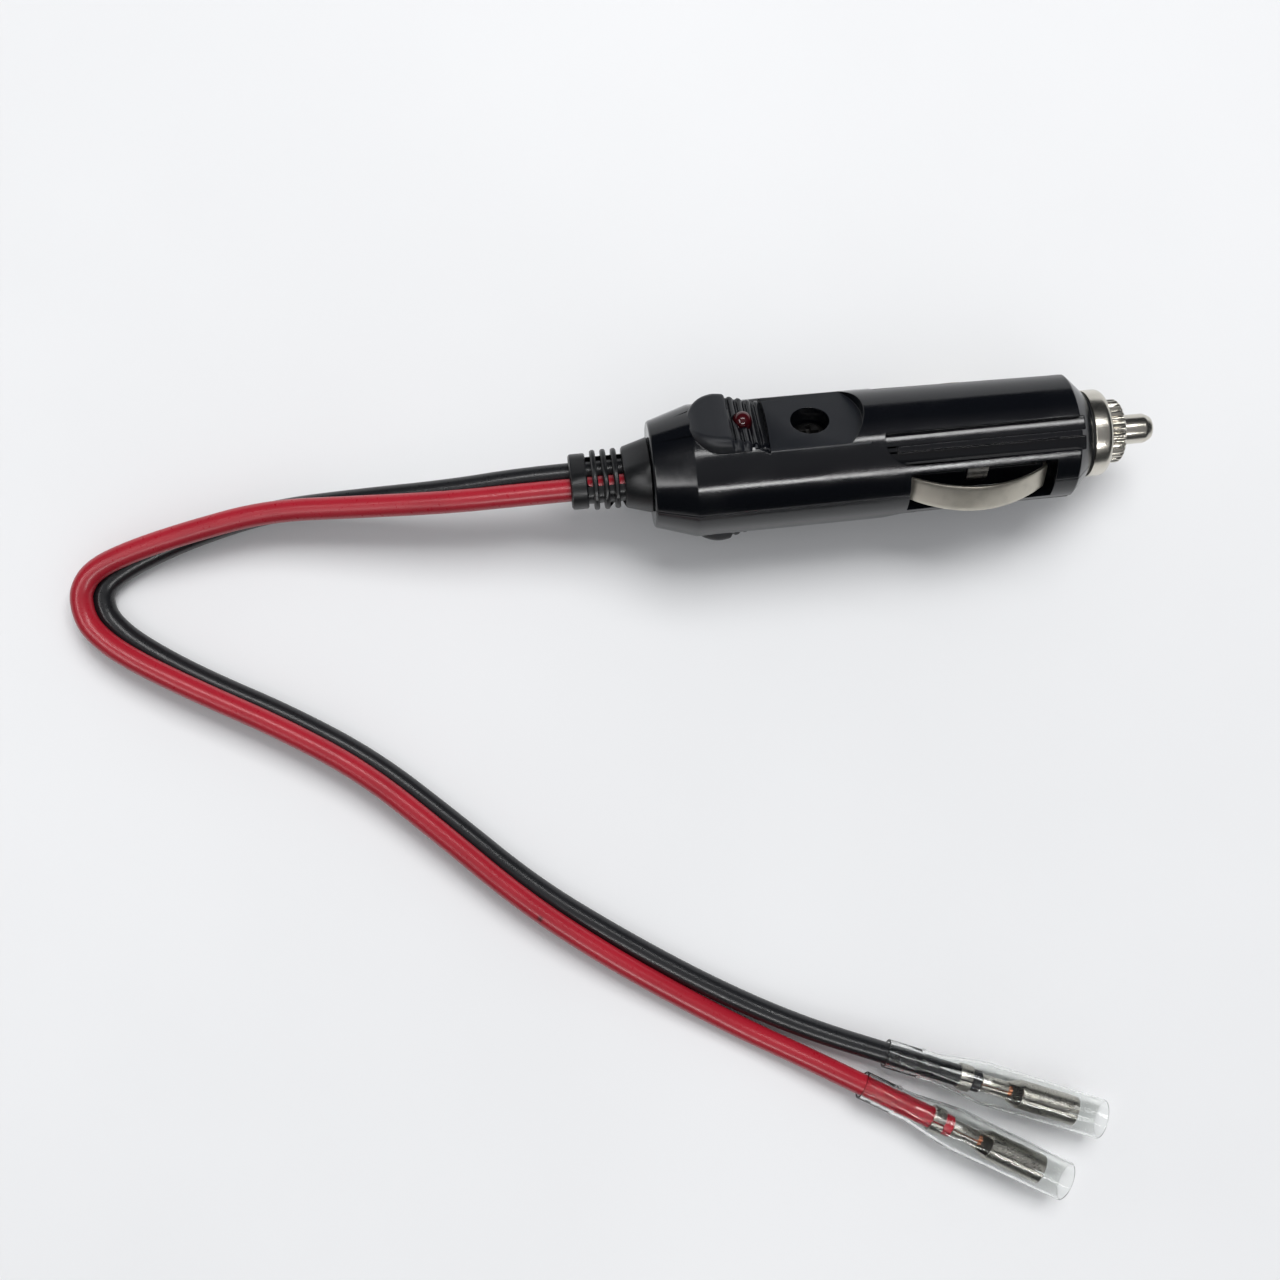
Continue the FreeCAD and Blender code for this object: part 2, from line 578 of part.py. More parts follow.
def nose_cap():
    """Turned cap: threaded spigot, smooth ring with a round shoulder, knurled collar."""
    ring_flat_end = CAP_START + CAP_RING_LENGTH
    shoulder = CAP_RING_RADIUS - CAP_ROUND
    chamfer = CAP_COLLAR_CHAMFER
    diagonal = CAP_ROUND * math.sqrt(0.5)
    spigot_start = CONE_END - THREAD_LENGTH
    inner_face = FLANGE_END
    outline = [(spigot_start, CAP_BORE_RADIUS), (spigot_start, THREAD_RADIUS),
               (CAP_START, THREAD_RADIUS), (CAP_START, CAP_RING_RADIUS),
               (ring_flat_end, CAP_RING_RADIUS), (CAP_RING_END, shoulder),
               (CAP_RING_END, CAP_COLLAR_RADIUS), (CAP_FRONT - chamfer, CAP_COLLAR_RADIUS),
               (CAP_FRONT, CAP_COLLAR_RADIUS - chamfer), (CAP_FRONT, TIP_RADIUS + RUNNING_GAP),
               (inner_face, TIP_RADIUS + RUNNING_GAP), (inner_face, CAP_BORE_RADIUS)]
    cap = axial(outline, {4: (ring_flat_end + diagonal, shoulder + diagonal)})
    notch = Part.makeCylinder(KNURL_DEPTH, CAP_COLLAR_LENGTH + 0.5,
                              Vector(CAP_RING_END + KNURL_GAP, 0, CAP_COLLAR_RADIUS), Vector(1, 0, 0))
    notches = [turned(notch, 360.0 * index / KNURL_COUNT) for index in range(KNURL_COUNT)]
    return cap.cut(Part.makeCompound(notches))


def cap_washer():
    return tube(CONE_END, CAP_START, WASHER_RADIUS, THREAD_RADIUS + CLEARANCE)


def contact_tip():
    dome_start = TIP_END - TIP_DOME
    stem_end = CAP_FRONT + TIP_STEM_PROUD
    outline = [(FUSE_FRONT, 0), (FUSE_FRONT, TIP_FLANGE_RADIUS), (FLANGE_END, TIP_FLANGE_RADIUS),
               (FLANGE_END, TIP_STEM_RADIUS), (stem_end, TIP_STEM_RADIUS), (stem_end, TIP_RADIUS),
               (dome_start, TIP_RADIUS), (TIP_END, TIP_RADIUS * 0.22), (TIP_END, 0)]
    return axial(outline, {6: (dome_start + TIP_DOME * 0.72, TIP_RADIUS * 0.76)})


def fuse_pieces():
    glass_outer = FUSE_RADIUS - FUSE_CAP_WALL
    wall = FUSE_CAP_WALL
    glass = tube(FUSE_REAR + wall, FUSE_FRONT - wall, glass_outer, glass_outer - FUSE_GLASS_WALL)
    front = rod(FUSE_FRONT - FUSE_CAP_LENGTH, FUSE_FRONT, FUSE_RADIUS)
    front = front.cut(rod(FUSE_FRONT - FUSE_CAP_LENGTH - 1, FUSE_FRONT - wall, glass_outer))
    rear = rod(FUSE_REAR, FUSE_REAR + FUSE_CAP_LENGTH, FUSE_RADIUS)
    rear = rear.cut(rod(FUSE_REAR + wall, FUSE_REAR + FUSE_CAP_LENGTH + 1, glass_outer))
    link = rod(FUSE_REAR + wall, FUSE_FRONT - wall, FUSE_WIRE_RADIUS)
    return {"fuse_glass": glass, "fuse_cap_front": front, "fuse_cap_rear": rear, "fuse_wire": link}


def contact_spring():
    """Coil between the cup and the fuse, as long as the room between them."""
    inset = SPRING_WIRE_RADIUS + 0.01
    height = SPRING_LENGTH - 2 * inset
    helix = Part.makeHelix(height / SPRING_TURNS, height, SPRING_RADIUS)
    profile = Part.Wire([Part.makeCircle(SPRING_WIRE_RADIUS, Vector(SPRING_RADIUS, 0, 0),
                                         Vector(0, 1, 0))])
    coil = Part.Wire(helix).makePipeShell([profile], True, True)
    coil.rotate(Vector(0, 0, 0), Vector(0, 1, 0), 90)
    coil.translate(Vector(CUP_FLOOR + inset, 0, 0))
    return coil


def spring_cup():
    """Brass cup with a tail bent back through the partition to the red lead."""
    cup = rod(CUP_REAR, CUP_FLOOR + CUP_RIM, CUP_RADIUS)
    cup = cup.cut(rod(CUP_FLOOR, CUP_FLOOR + CUP_RIM + 1, CUP_RADIUS - CUP_WALL))
    half = CUP_TAIL_HALF_WIDTH
    across = block((CUP_REAR, CUP_FLOOR), (-CUP_TAIL_REACH, 0), (-half, half))
    tail = block((CUP_REAR - CUP_TAIL_LENGTH, CUP_FLOOR),
                 (-CUP_TAIL_REACH, CUP_WALL - CUP_TAIL_REACH), (-half, half))
    return cup.fuse(across).fuse(tail).removeSplitter()


def side_contact():
    """Sprung strip on the +Y side: an arch with its front end hooked inwards."""
    start = SLOT_START - SLOT_UNDERCUT + CONTACT_REAR_GAP
    end = SLOT_END - CONTACT_FRONT_GAP
    inner = CONTACT_APEX - CONTACT_THICKNESS
    low = CONTACT_END_HEIGHT - CONTACT_THICKNESS
    peak = (SLOT_START + SLOT_END) / 2
    rise = 0.72 * (CONTACT_APEX - CONTACT_END_HEIGHT) + CONTACT_END_HEIGHT
    quarter = (start + peak) / 2
    three_quarter = (peak + end) / 2 + 0.6
    tab_end = SLOT_START + CONTACT_THICKNESS
    drop = CONTACT_THICKNESS
    outer_points = [Vector(tab_end, CONTACT_END_HEIGHT, 0), Vector(quarter, rise, 0),
                    Vector(peak, CONTACT_APEX, 0), Vector(three_quarter, rise, 0),
                    Vector(end, CONTACT_END_HEIGHT, 0)]
    inner_points = [Vector(tab_end + drop, low, 0), Vector(quarter + 0.15, rise - drop, 0),
                    Vector(peak, inner, 0), Vector(three_quarter - 0.12, rise - drop, 0),
                    Vector(end - drop, low, 0)]
    outer_curve = Part.BSplineCurve()
    outer_curve.interpolate(outer_points)
    inner_curve = Part.BSplineCurve()
    inner_curve.interpolate(inner_points)
    hook = SLOT_FLOOR + CONTACT_TRAVEL + CONTACT_FLOOR_GAP
    foot_start = end - CONTACT_FOOT_LENGTH
    edges = [outer_curve.toShape(),
             Part.makeLine(outer_points[-1], Vector(end, hook, 0)),
             Part.makeLine(Vector(end, hook, 0), Vector(foot_start, hook, 0)),
             Part.makeLine(Vector(foot_start, hook, 0), Vector(foot_start, hook + drop, 0)),
             Part.makeLine(Vector(foot_start, hook + drop, 0), Vector(end - drop, hook + drop, 0)),
             Part.makeLine(Vector(end - drop, hook + drop, 0), inner_points[-1]),
             inner_curve.toShape(),
             Part.makeLine(inner_points[0], Vector(start, low, 0)),
             Part.makeLine(Vector(start, low, 0), Vector(start, CONTACT_END_HEIGHT, 0)),
             Part.makeLine(Vector(start, CONTACT_END_HEIGHT, 0), outer_points[0])]
    half = CONTACT_HALF_WIDTH
    strip = Part.Face(Part.Wire(Part.__sortEdges__(edges))).extrude(Vector(0, 0, 2 * half))
    strip.translate(Vector(0, 0, -half))
    narrow = CONTACT_END_HALF_WIDTH
    bow = ((end - start) / 2) ** 2 / (2 * (half - narrow)) + (half - narrow) / 2
    for side in (1, -1):
        waist = Part.makeCylinder(bow, 4 * FAR, Vector((start + end) / 2, -FAR, side * (half - bow)),
                                  Vector(0, 1, 0))
        strip = strip.common(waist)
    return strip


def ground_strap():
    """Band round the fuse tube that both contacts share, with a tail to the black lead."""
    inner = STRAP_RADIUS - STRAP_THICKNESS
    band = tube(STRAP_START, STRAP_START + STRAP_WIDTH, STRAP_RADIUS, inner)
    half = STRAP_TAIL_HALF_WIDTH
    tail = block((STRAP_TAIL_START, STRAP_START + 1), (inner + 0.05, STRAP_RADIUS - 0.05), (-half, half))
    return band.fuse(tail).removeSplitter()


def stadium(x_range, width, thickness, end_width=None, end_thickness=None):
    """Bar along the axis with round sides, drawn between two like sections."""
    sections = []
    for x, wide, thick in ((x_range[0], width, thickness),
                           (x_range[1], end_width or width, end_thickness or thickness)):
        straight = (wide - thick) / 2
        radius = thick / 2
        corners = [Vector(x, -straight, radius), Vector(x, straight, radius),
                   Vector(x, straight, -radius), Vector(x, -straight, -radius)]
        sections.append(Part.Wire([
            Part.makeLine(corners[0], corners[1]),
            Part.Arc(corners[1], Vector(x, straight + radius, 0), corners[2]).toShape(),
            Part.makeLine(corners[2], corners[3]),
            Part.Arc(corners[3], Vector(x, -straight - radius, 0), corners[0]).toShape()]))
    return Part.makeLoft(sections, True, True)


def lead_channels(start, end, radius):
    pair = []
    for side in (-1, 1):
        pair.append(Part.makeCylinder(radius, end - start, Vector(start, side * LEAD_OFFSET, 0),
                                      Vector(1, 0, 0)))
    return pair[0].fuse(pair[1])


def strain_relief():
    """Slotted rubber relief: end block, fins with open grooves, flare and captive flange."""
    start = -RELIEF_LENGTH
    fins_start = start + RELIEF_END_LENGTH
    pitch = RELIEF_GROOVE_LENGTH + RELIEF_FIN_LENGTH
    flare_start = fins_start + RELIEF_FIN_COUNT * pitch + RELIEF_GROOVE_LENGTH
    body = stadium((start, fins_start), RELIEF_END_WIDTH, RELIEF_END_THICKNESS)
    body = body.fuse(stadium((start + 0.5, 0), RELIEF_CORE_WIDTH, RELIEF_CORE_THICKNESS))
    for index in range(RELIEF_FIN_COUNT):
        fin_start = fins_start + RELIEF_GROOVE_LENGTH + pitch * index
        body = body.fuse(stadium((fin_start, fin_start + RELIEF_FIN_LENGTH),
                                 RELIEF_FIN_WIDTH, RELIEF_FIN_THICKNESS))
    body = body.fuse(stadium((flare_start, -CLEARANCE / 2), RELIEF_FIN_WIDTH + 0.1,
                             RELIEF_FIN_THICKNESS + 0.3, RELIEF_FLARE_WIDTH, RELIEF_FLARE_THICKNESS))
    flange_start = REAR_WALL + CLEARANCE
    body = body.fuse(rod(-1, flange_start + 0.5, RELIEF_NECK_RADIUS))
    body = body.fuse(rod(flange_start, flange_start + RELIEF_FLANGE_LENGTH, RELIEF_FLANGE_RADIUS))
    end = flange_start + RELIEF_FLANGE_LENGTH + 1
    body = body.cut(lead_channels(start - 1, end, LEAD_RADIUS + CHANNEL_CLEARANCE))
    half = RELIEF_WINDOW_WIDTH / 2
    for index in range(RELIEF_FIN_COUNT + 1):
        groove_start = fins_start + pitch * index
        body = body.cut(block((groove_start, groove_start + RELIEF_GROOVE_LENGTH),
                              (-half, half), (-FAR, FAR)))
    return body


def inner_lead(side):
    """Insulated lead from the relief, spread round the screw boss, to its tab."""
    end = CUP_REAR - CUP_TAIL_LENGTH - CLEARANCE if side < 0 else STRAP_TAIL_START - CLEARANCE
    route = [(-RELIEF_LENGTH, side * LEAD_OFFSET, 0), (LEAD_STRAIGHT_END, side * LEAD_OFFSET, 0),
             (LEAD_SPREAD_STATION, side * LEAD_SPREAD, 0), (end, side * LEAD_SPREAD, 0)]
    return wire_path(route, LEAD_RADIUS)[0]


def sleeve_axis(route, mouth):
    """Start of the sleeve and the direction from there to its mouth."""
    start = Vector(*route[-1])
    return start, (Vector(*mouth) - start).normalize()


def placed(shape, start, direction):
    """Shape drawn along X from 0, moved to a start point and turned to a direction."""
    copy = shape.copy()
    copy.Placement = Placement(start, Rotation(Vector(1, 0, 0), direction))
    return copy


def sleeve():
    """Clear sleeve: narrow neck with a low ridge, a flare and a long mouth that narrows a little."""
    wall, ridge = SLEEVE_WALL, SLEEVE_RIDGE_STATION
    outer = [(0, SLEEVE_WIRE_RADIUS), (ridge - SLEEVE_RIDGE_HALF_LENGTH, SLEEVE_WIRE_RADIUS),
             (ridge, SLEEVE_WIRE_RADIUS + SLEEVE_RIDGE),
             (ridge + SLEEVE_RIDGE_HALF_LENGTH, SLEEVE_WIRE_RADIUS),
             (SLEEVE_NECK_END, SLEEVE_WIRE_RADIUS), (SLEEVE_FLARE_END, SLEEVE_FLARE_RADIUS),
             (SLEEVE_LENGTH, SLEEVE_MOUTH_RADIUS)]
    inner = [(SLEEVE_LENGTH, SLEEVE_MOUTH_RADIUS - wall), (SLEEVE_FLARE_END, SLEEVE_FLARE_RADIUS - wall),
             (SLEEVE_NECK_END, SLEEVE_WIRE_RADIUS - wall), (0, SLEEVE_WIRE_RADIUS - wall)]
    return axial(outer + inner)


def seam(start, end):
    """Space of the open seam along the top of a rolled piece."""
    return block((start, end), (-SEAM_HALF_WIDTH, SEAM_HALF_WIDTH), (0, FAR))


def receptacle():
    """Rolled bullet receptacle: insulation wings, strand crimp, neck and slit barrel."""
    barrel_start = TERMINAL_LENGTH - BARREL_LENGTH
    strand_room = STRAND_CIRCLE + STRAND_RADIUS + STRAND_GAP
    wings = tube(0, WING_LENGTH, LEAD_RADIUS + WING_THICKNESS, LEAD_RADIUS + STRAND_GAP)
    wings = wings.cut(seam(-1, WING_LENGTH + 1))
    crimp = tube(CRIMP_START, CRIMP_END, CRIMP_OUTER_RADIUS, strand_room).cut(seam(0, CRIMP_END + 1))
    floor = -LEAD_RADIUS - WING_THICKNESS
    half = WEB_HALF_WIDTH
    web = block((WING_LENGTH - 0.5, CRIMP_START + RISER_LENGTH), (-half, half),
                (floor, floor + WING_THICKNESS))
    riser = block((CRIMP_START, CRIMP_START + RISER_LENGTH), (-half, half),
                  (floor, -strand_room - STRAND_GAP))
    neck_start = CRIMP_END - RISER_LENGTH
    neck_end = barrel_start + RISER_LENGTH
    neck = axial([(neck_start, strand_room + STRAND_GAP), (neck_start, CRIMP_OUTER_RADIUS),
                  (barrel_start, BARREL_OUTER_RADIUS), (neck_end, BARREL_OUTER_RADIUS),
                  (neck_end, BARREL_BORE_RADIUS)])
    window = NECK_WINDOW_HALF_WIDTH
    neck = neck.cut(block((0, barrel_start), (-window, window), (NECK_WINDOW_HEIGHT, FAR)))
    barrel = tube(barrel_start, TERMINAL_LENGTH, BARREL_OUTER_RADIUS, BARREL_BORE_RADIUS)
    barrel = barrel.cut(seam(neck_end, TERMINAL_LENGTH + 1))
    return wings.fuse(web).fuse(riser).fuse(crimp).fuse(neck).fuse(barrel).removeSplitter()


def strands():
    """Bare copper ends in the crimp: one centre strand with a ring of others round it."""
    start = STRIPPED + STRAND_GAP
    length = CRIMP_END + STRAND_END_LENGTH - start
    solids = [rod(start, start + length, STRAND_RADIUS * 0.8)]
    for index in range(STRAND_COUNT):
        angle = 2 * math.pi * index / STRAND_COUNT
        centre = Vector(start, STRAND_CIRCLE * math.cos(angle), STRAND_CIRCLE * math.sin(angle))
        solids.append(Part.makeCylinder(STRAND_RADIUS * 0.85, length, centre, Vector(1, 0, 0)))
    return Part.makeCompound(solids)


def far_end_pieces(name, route, mouth):
    """Sleeve, receptacle and strands on one lead, in the frame of the table."""
    start, direction = sleeve_axis(route, mouth)
    insulation_end = start + direction * INSULATION_INSIDE
    terminal_start = insulation_end - direction * STRIPPED
    return {
        name + "_sleeve": placed(sleeve(), start, direction),
        name + "_receptacle": placed(receptacle(), terminal_start, direction),
        name + "_strands": placed(strands(), terminal_start, direction)}


def whole_route(route, mouth, exit_point):
    """Route from the relief's end face, straight out of it, to the insulation's cut end."""
    start, direction = sleeve_axis(route, mouth)
    end = start + direction * INSULATION_INSIDE
    straight_out = exit_point - Vector(EXIT_RUN, 0, 0)
    return [tuple(exit_point), tuple(straight_out)] + route + [tuple(end)]


def cord(name, route):
    """Insulated lead outside the relief, with its bends and volume printed for checking."""
    solid, path, radii = wire_path(route, LEAD_RADIUS)
    print(name, "points", [tuple(round(value, 3) for value in point) for point in route])
    expected = math.pi * LEAD_RADIUS ** 2 * path.Length
    print(name, "length", round(path.Length, 1), "smallest bend radius", round(min(radii), 1),
          "radii", [round(radius, 1) for radius in radii],
          "volume over section times length", round(solid.Volume / expected, 4))
    return solid


def plug_pieces():
    """All pieces drawn in the plug's own frame."""
    upper, lower = housing_shells()
    contact = side_contact()
    pieces = {
        "upper_housing": upper, "lower_housing": lower, "housing_screw": housing_screw(),
        "indicator_led": indicator_led(), "led_leads": led_leads(), "led_resistor": led_resistor(),
        "nose_cap": nose_cap(), "cap_washer": cap_washer(), "contact_tip": contact_tip(),
        "contact_spring": contact_spring(), "spring_cup": spring_cup(),
        "side_contact_right": contact, "side_contact_left": turned(contact, 180),
        "ground_strap": ground_strap(), "strain_relief": strain_relief(),
        "red_lead": inner_lead(-1), "black_lead": inner_lead(1)}
    pieces.update(fuse_pieces())
    return pieces


def lying_height():
    """Height of the axis when the grip's corner or the lower side contact meets the table."""
    panel_angle = math.radians(-ROLL)
    grip_reach = ((GRIP_HEIGHT - GRIP_CORNER) * math.cos(panel_angle)
                  + (GRIP_HALF_WIDTH - GRIP_CORNER) * math.sin(panel_angle) + GRIP_CORNER)
    contact_reach = (CONTACT_APEX * math.sin(panel_angle)
                     + CONTACT_HALF_WIDTH * math.cos(panel_angle))
    return max(grip_reach, contact_reach)


def main():
    os.makedirs("parts", exist_ok=True)
    middle = (TIP_END - RELIEF_LENGTH) / 2
    lay = Placement(Vector(-middle, 0, lying_height()), Rotation(Vector(1, 0, 0), ROLL))
    pieces = {}
    for name, shape in plug_pieces().items():
        moved = shape.copy()
        moved.Placement = lay.multiply(moved.Placement)
        pieces[name] = moved
    for name, side, route, mouth in (("red", -1, RED_ROUTE, RED_SLEEVE_MOUTH),
                                     ("black", 1, BLACK_ROUTE, BLACK_SLEEVE_MOUTH)):
        exit_point = lay.multVec(Vector(-RELIEF_LENGTH, side * LEAD_OFFSET, 0))
        pieces[name + "_wire"] = cord(name + "_wire", whole_route(route, mouth, exit_point))
        pieces.update(far_end_pieces(name, route, mouth))
    print("axis height", round(lying_height(), 3), "middle", round(middle, 3))
    for name, shape in sorted(pieces.items()):
        box = shape.BoundBox
        print("%-20s solids %d valid %s volume %9.2f  x %8.2f %8.2f y %8.2f %8.2f z %7.2f %7.2f" % (
            name, len(shape.Solids), shape.isValid(), shape.Volume,
            box.XMin, box.XMax, box.YMin, box.YMax, box.ZMin, box.ZMax))
        shape.exportStep("parts/" + name + ".step")


main()
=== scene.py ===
"""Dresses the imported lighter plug: black moulded shells, plated nose, sprung contacts, slotted
relief, a red and a black lead that fold back once, and clear sleeves over rolled receptacles."""
import json
import math

import bpy
from mathutils import Matrix, Vector

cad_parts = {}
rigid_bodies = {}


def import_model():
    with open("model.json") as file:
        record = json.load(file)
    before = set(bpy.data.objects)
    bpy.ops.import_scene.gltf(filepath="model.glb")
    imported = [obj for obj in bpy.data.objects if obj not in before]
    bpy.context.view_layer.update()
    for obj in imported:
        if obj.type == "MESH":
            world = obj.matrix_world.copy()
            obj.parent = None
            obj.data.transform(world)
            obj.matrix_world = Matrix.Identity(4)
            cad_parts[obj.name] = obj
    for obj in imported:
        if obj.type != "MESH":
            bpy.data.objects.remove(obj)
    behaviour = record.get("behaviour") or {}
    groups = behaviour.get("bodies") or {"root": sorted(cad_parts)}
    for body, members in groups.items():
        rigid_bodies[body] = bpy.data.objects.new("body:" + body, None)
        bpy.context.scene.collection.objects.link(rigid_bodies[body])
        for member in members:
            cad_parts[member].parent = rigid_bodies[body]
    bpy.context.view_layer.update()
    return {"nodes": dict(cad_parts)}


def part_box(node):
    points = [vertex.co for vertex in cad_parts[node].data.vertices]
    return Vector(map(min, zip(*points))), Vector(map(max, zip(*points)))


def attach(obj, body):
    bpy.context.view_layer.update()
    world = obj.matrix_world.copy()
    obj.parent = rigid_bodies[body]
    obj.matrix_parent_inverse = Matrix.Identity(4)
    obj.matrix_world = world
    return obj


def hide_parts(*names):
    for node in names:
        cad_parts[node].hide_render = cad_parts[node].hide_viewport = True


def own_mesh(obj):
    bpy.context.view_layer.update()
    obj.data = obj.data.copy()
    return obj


bl_info = {
    "name": "Lighter plug",
    "version": (1, 0, 0),
    "blender": (4, 5, 0),
    "location": "3D View > Sidebar > Plug",
    "description": "Builds the dressed lighter plug round its packed frame",
    "category": "Add Mesh",
}

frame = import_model()

MM = 0.001
WASHER_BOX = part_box("cap_washer")
HOUSING_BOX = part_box("upper_housing")
TIP_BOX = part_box("contact_tip")
AXIS_HEIGHT = (WASHER_BOX[0].z + WASHER_BOX[1].z) / 2
REAR_FACE = HOUSING_BOX[0].x
ROLL = math.radians(-42.5)

# Plug frame, in millimetres: X along the axis from the rear face, Z out of the flat panel.
LAY = (Matrix.Translation((REAR_FACE, 0, AXIS_HEIGHT)) @ Matrix.Rotation(ROLL, 4, "X")
       @ Matrix.Scale(MM, 4))


def station(x):
    """Station along the plug, in millimetres, of a place in the frame."""
    return (x - REAR_FACE) / MM


CONE_END = station(WASHER_BOX[0].x)
CAP_START = station(WASHER_BOX[1].x)
TIP_END = station(TIP_BOX[1].x)
NOSE_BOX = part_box("nose_cap")
CAP_BACK = station(NOSE_BOX[0].x)
CAP_FRONT = station(NOSE_BOX[1].x)
CAP_RADIUS = (NOSE_BOX[1].y - NOSE_BOX[0].y) / 2 / MM
RELIEF_END = station(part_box("strain_relief")[0].x)
FAR = 60.0

# Barrel and its features
BARREL_END = CONE_END - 3.2
FRUSTUM_LENGTH = 6.7
REAR_RADIUS = 8.6
BARREL_RADIUS = 10.7
MID_STATION = 34.5
MID_RADIUS = 10.6
FRONT_RADIUS = 10.2
CONE_TIP_RADIUS = 6.95
WALL = 1.75
REAR_WALL = 2.0
GAP = 0.1
PANEL_HEIGHT = 8.6
PANEL_FRONT = 34.2
PANEL_BULGE = 2.8
CHAMBER_HALF = PANEL_HEIGHT - WALL
PARTITION = 30.0
GRIP_START, GRIP_PEAK, GRIP_HEIGHT, GRIP_HALF = 5.8, 10.3, 11.35, 6.2
GRIP_FOOT = BARREL_RADIUS - 1.9
GRIP_CORNER, GRIP_REAR_LENGTH = 1.4, 5.4
PAD_END_HEIGHT = 11.0
RAMP_START, RAMP_END, RAMP_TOP, RAMP_FOOT = 12.8, 18.5, 10.65, 8.75
RIB_PITCH, RIB_COUNT, RIB_DEPTH, RIB_SHIFT = 1.43, 4, 0.45, 0.1
LAMP_STATION, LAMP_RADIUS, LAMP_PROUD = 14.9, 1.5, 1.35
SCREW_STATION, SCREW_SEAT, SCREW_RECESS = 25.8, 4.4, 3.1
POCKET_START, POCKET_HALF, POCKET_ROUND, POCKET_FLOOR = 36.8, 2.65, 4.2, 9.1
POCKET_RIB_START, POCKET_RIB_HALF, POCKET_RIB_TOP = 39.2, 0.5, 10.0
SLOT_START, SLOT_END, SLOT_HALF, SLOT_FLOOR, SLOT_LIP = 40.7, 64.4, 3.9, 5.8, 9.35
STRIP_THICK, STRIP_APEX, STRIP_LOW, STRIP_HALF, STRIP_END_HALF = 0.45, 12.8, 9.1, 2.6, 2.25

# Nose
RING_END = CAP_START + 2.0 + 1.15
RING_ROUND = 1.15
COLLAR_RADIUS = 5.2
CAP_BORE = 3.75
FLANGE_END = RING_END - 0.85
TIP_RADIUS, STEM_RADIUS, FLANGE_RADIUS = 2.42, 1.9, 3.2

# Receptacles and sleeves, along each sleeve's own axis from its wire end
TERMINAL_START = 13.1
WING_END, CRIMP_START, CRIMP_END, ROLLED_START, TERMINAL_END = 2.2, 4.2, 8.9, 11.1, 21.4
SLEEVE_LENGTH, SLEEVE_NECK, SLEEVE_FLARE, SLEEVE_MOUTH = 39.5, 2.45, 3.65, 3.4

# Leads: control points of their routes, in metres, exit first
RED_ROUTE = [
    (-0.04835, -0.001379, 0.013243), (-0.05585, -0.001379, 0.013243), (-0.068, -0.0014, 0.012),
    (-0.083, -0.0006, 0.0095), (-0.098, 0.0003, 0.0074), (-0.111, -0.0018, 0.0061),
    (-0.1213, -0.0041, 0.0052), (-0.1276, -0.0064, 0.0045), (-0.1302, -0.0096, 0.0041),
    (-0.1302, -0.0132, 0.004), (-0.1289, -0.0165, 0.0042), (-0.1243, -0.0209, 0.0047),
    (-0.114, -0.0274, 0.00515), (-0.0995, -0.0357, 0.0051), (-0.087, -0.0443, 0.00495),
    (-0.0755, -0.0557, 0.0047), (-0.063, -0.0687, 0.0044), (-0.05, -0.0795, 0.0037),
    (-0.0375, -0.0886, 0.0028), (-0.0275, -0.0954, 0.002), (-0.0185, -0.1006, 0.0027),
    (-0.00858, -0.10659, 0.00368), (0.005859, -0.115563, 0.00368)]
BLACK_ROUTE = [
    (-0.04835, 0.001379, 0.010716), (-0.05585, 0.001379, 0.010716), (-0.068, 0.0007, 0.0089),
    (-0.083, 0.0008, 0.0061), (-0.098, 0.0005, 0.0037), (-0.111, -0.0023, 0.0025),
    (-0.1208, -0.0056, 0.00195), (-0.1259, -0.0083, 0.00187), (-0.1273, -0.0105, 0.00187),
    (-0.1272, -0.0128, 0.00187), (-0.1264, -0.0151, 0.00187), (-0.1227, -0.0192, 0.00187),
    (-0.1131, -0.0259, 0.00187), (-0.0985, -0.0341, 0.00187), (-0.0856, -0.0429, 0.00187),
    (-0.0739, -0.0541, 0.00187), (-0.0612, -0.0669, 0.00187), (-0.048, -0.077, 0.00187),
    (-0.0354, -0.0857, 0.00187), (-0.0249, -0.0921, 0.00187), (-0.0152, -0.097, 0.0027),
    (-0.00406, -0.10162, 0.00368), (0.011532, -0.108393, 0.00368)]
LEAD_RADIUS = 1.85

# Light of the room, for matt surfaces and as shiny ones mirror it
ROOM_COLOUR = (0.46, 0.465, 0.475)
MIRROR_DARK = (0.02, 0.022, 0.025)
MIRROR_PALE = (0.30, 0.30, 0.31)
MIRROR_DARK_UP_TO = 0.55

# Camera of the photograph: place in metres, turn in degrees, lens for a 36 mm wide frame
CAMERA_PLACE = (-0.0528, -0.01713, 0.26767)
CAMERA_TURN = (-1.824, -3.170, -5.608)
CAMERA_LENS = 44.16


class PlugSizes(bpy.types.PropertyGroup):
    edge_round: bpy.props.FloatProperty(
        name="Edge round", description="Round on the moulded edges, in millimetres", default=0.12,
        min=0.02, max=0.5)
    turned_steps: bpy.props.IntProperty(
        name="Steps", description="Steps round each turned piece", default=144, min=32, max=512)
    knurl_count: bpy.props.IntProperty(
        name="Knurls", description="Ridges round the collar of the nose cap", default=32, min=12)
    sleeve_wall: bpy.props.FloatProperty(
        name="Sleeve wall", description="Wall of the clear sleeves, in millimetres", default=0.45)


class PlugColours(bpy.types.PropertyGroup):
    shell: bpy.props.FloatVectorProperty(
        name="Shell", description="Moulded shell", subtype="COLOR", size=3,
        default=(0.0026, 0.0031, 0.0045))
    red: bpy.props.FloatVectorProperty(
        name="Red lead", description="Red insulation", subtype="COLOR", size=3,
        default=(0.35, 0.0105, 0.023))
    nickel: bpy.props.FloatVectorProperty(
        name="Nickel", description="Plated nose", subtype="COLOR", size=3, default=(0.66, 0.63, 0.56))
    floor: bpy.props.FloatVectorProperty(
        name="Floor", description="Table top", subtype="COLOR", size=3, default=(0.80, 0.805, 0.815))


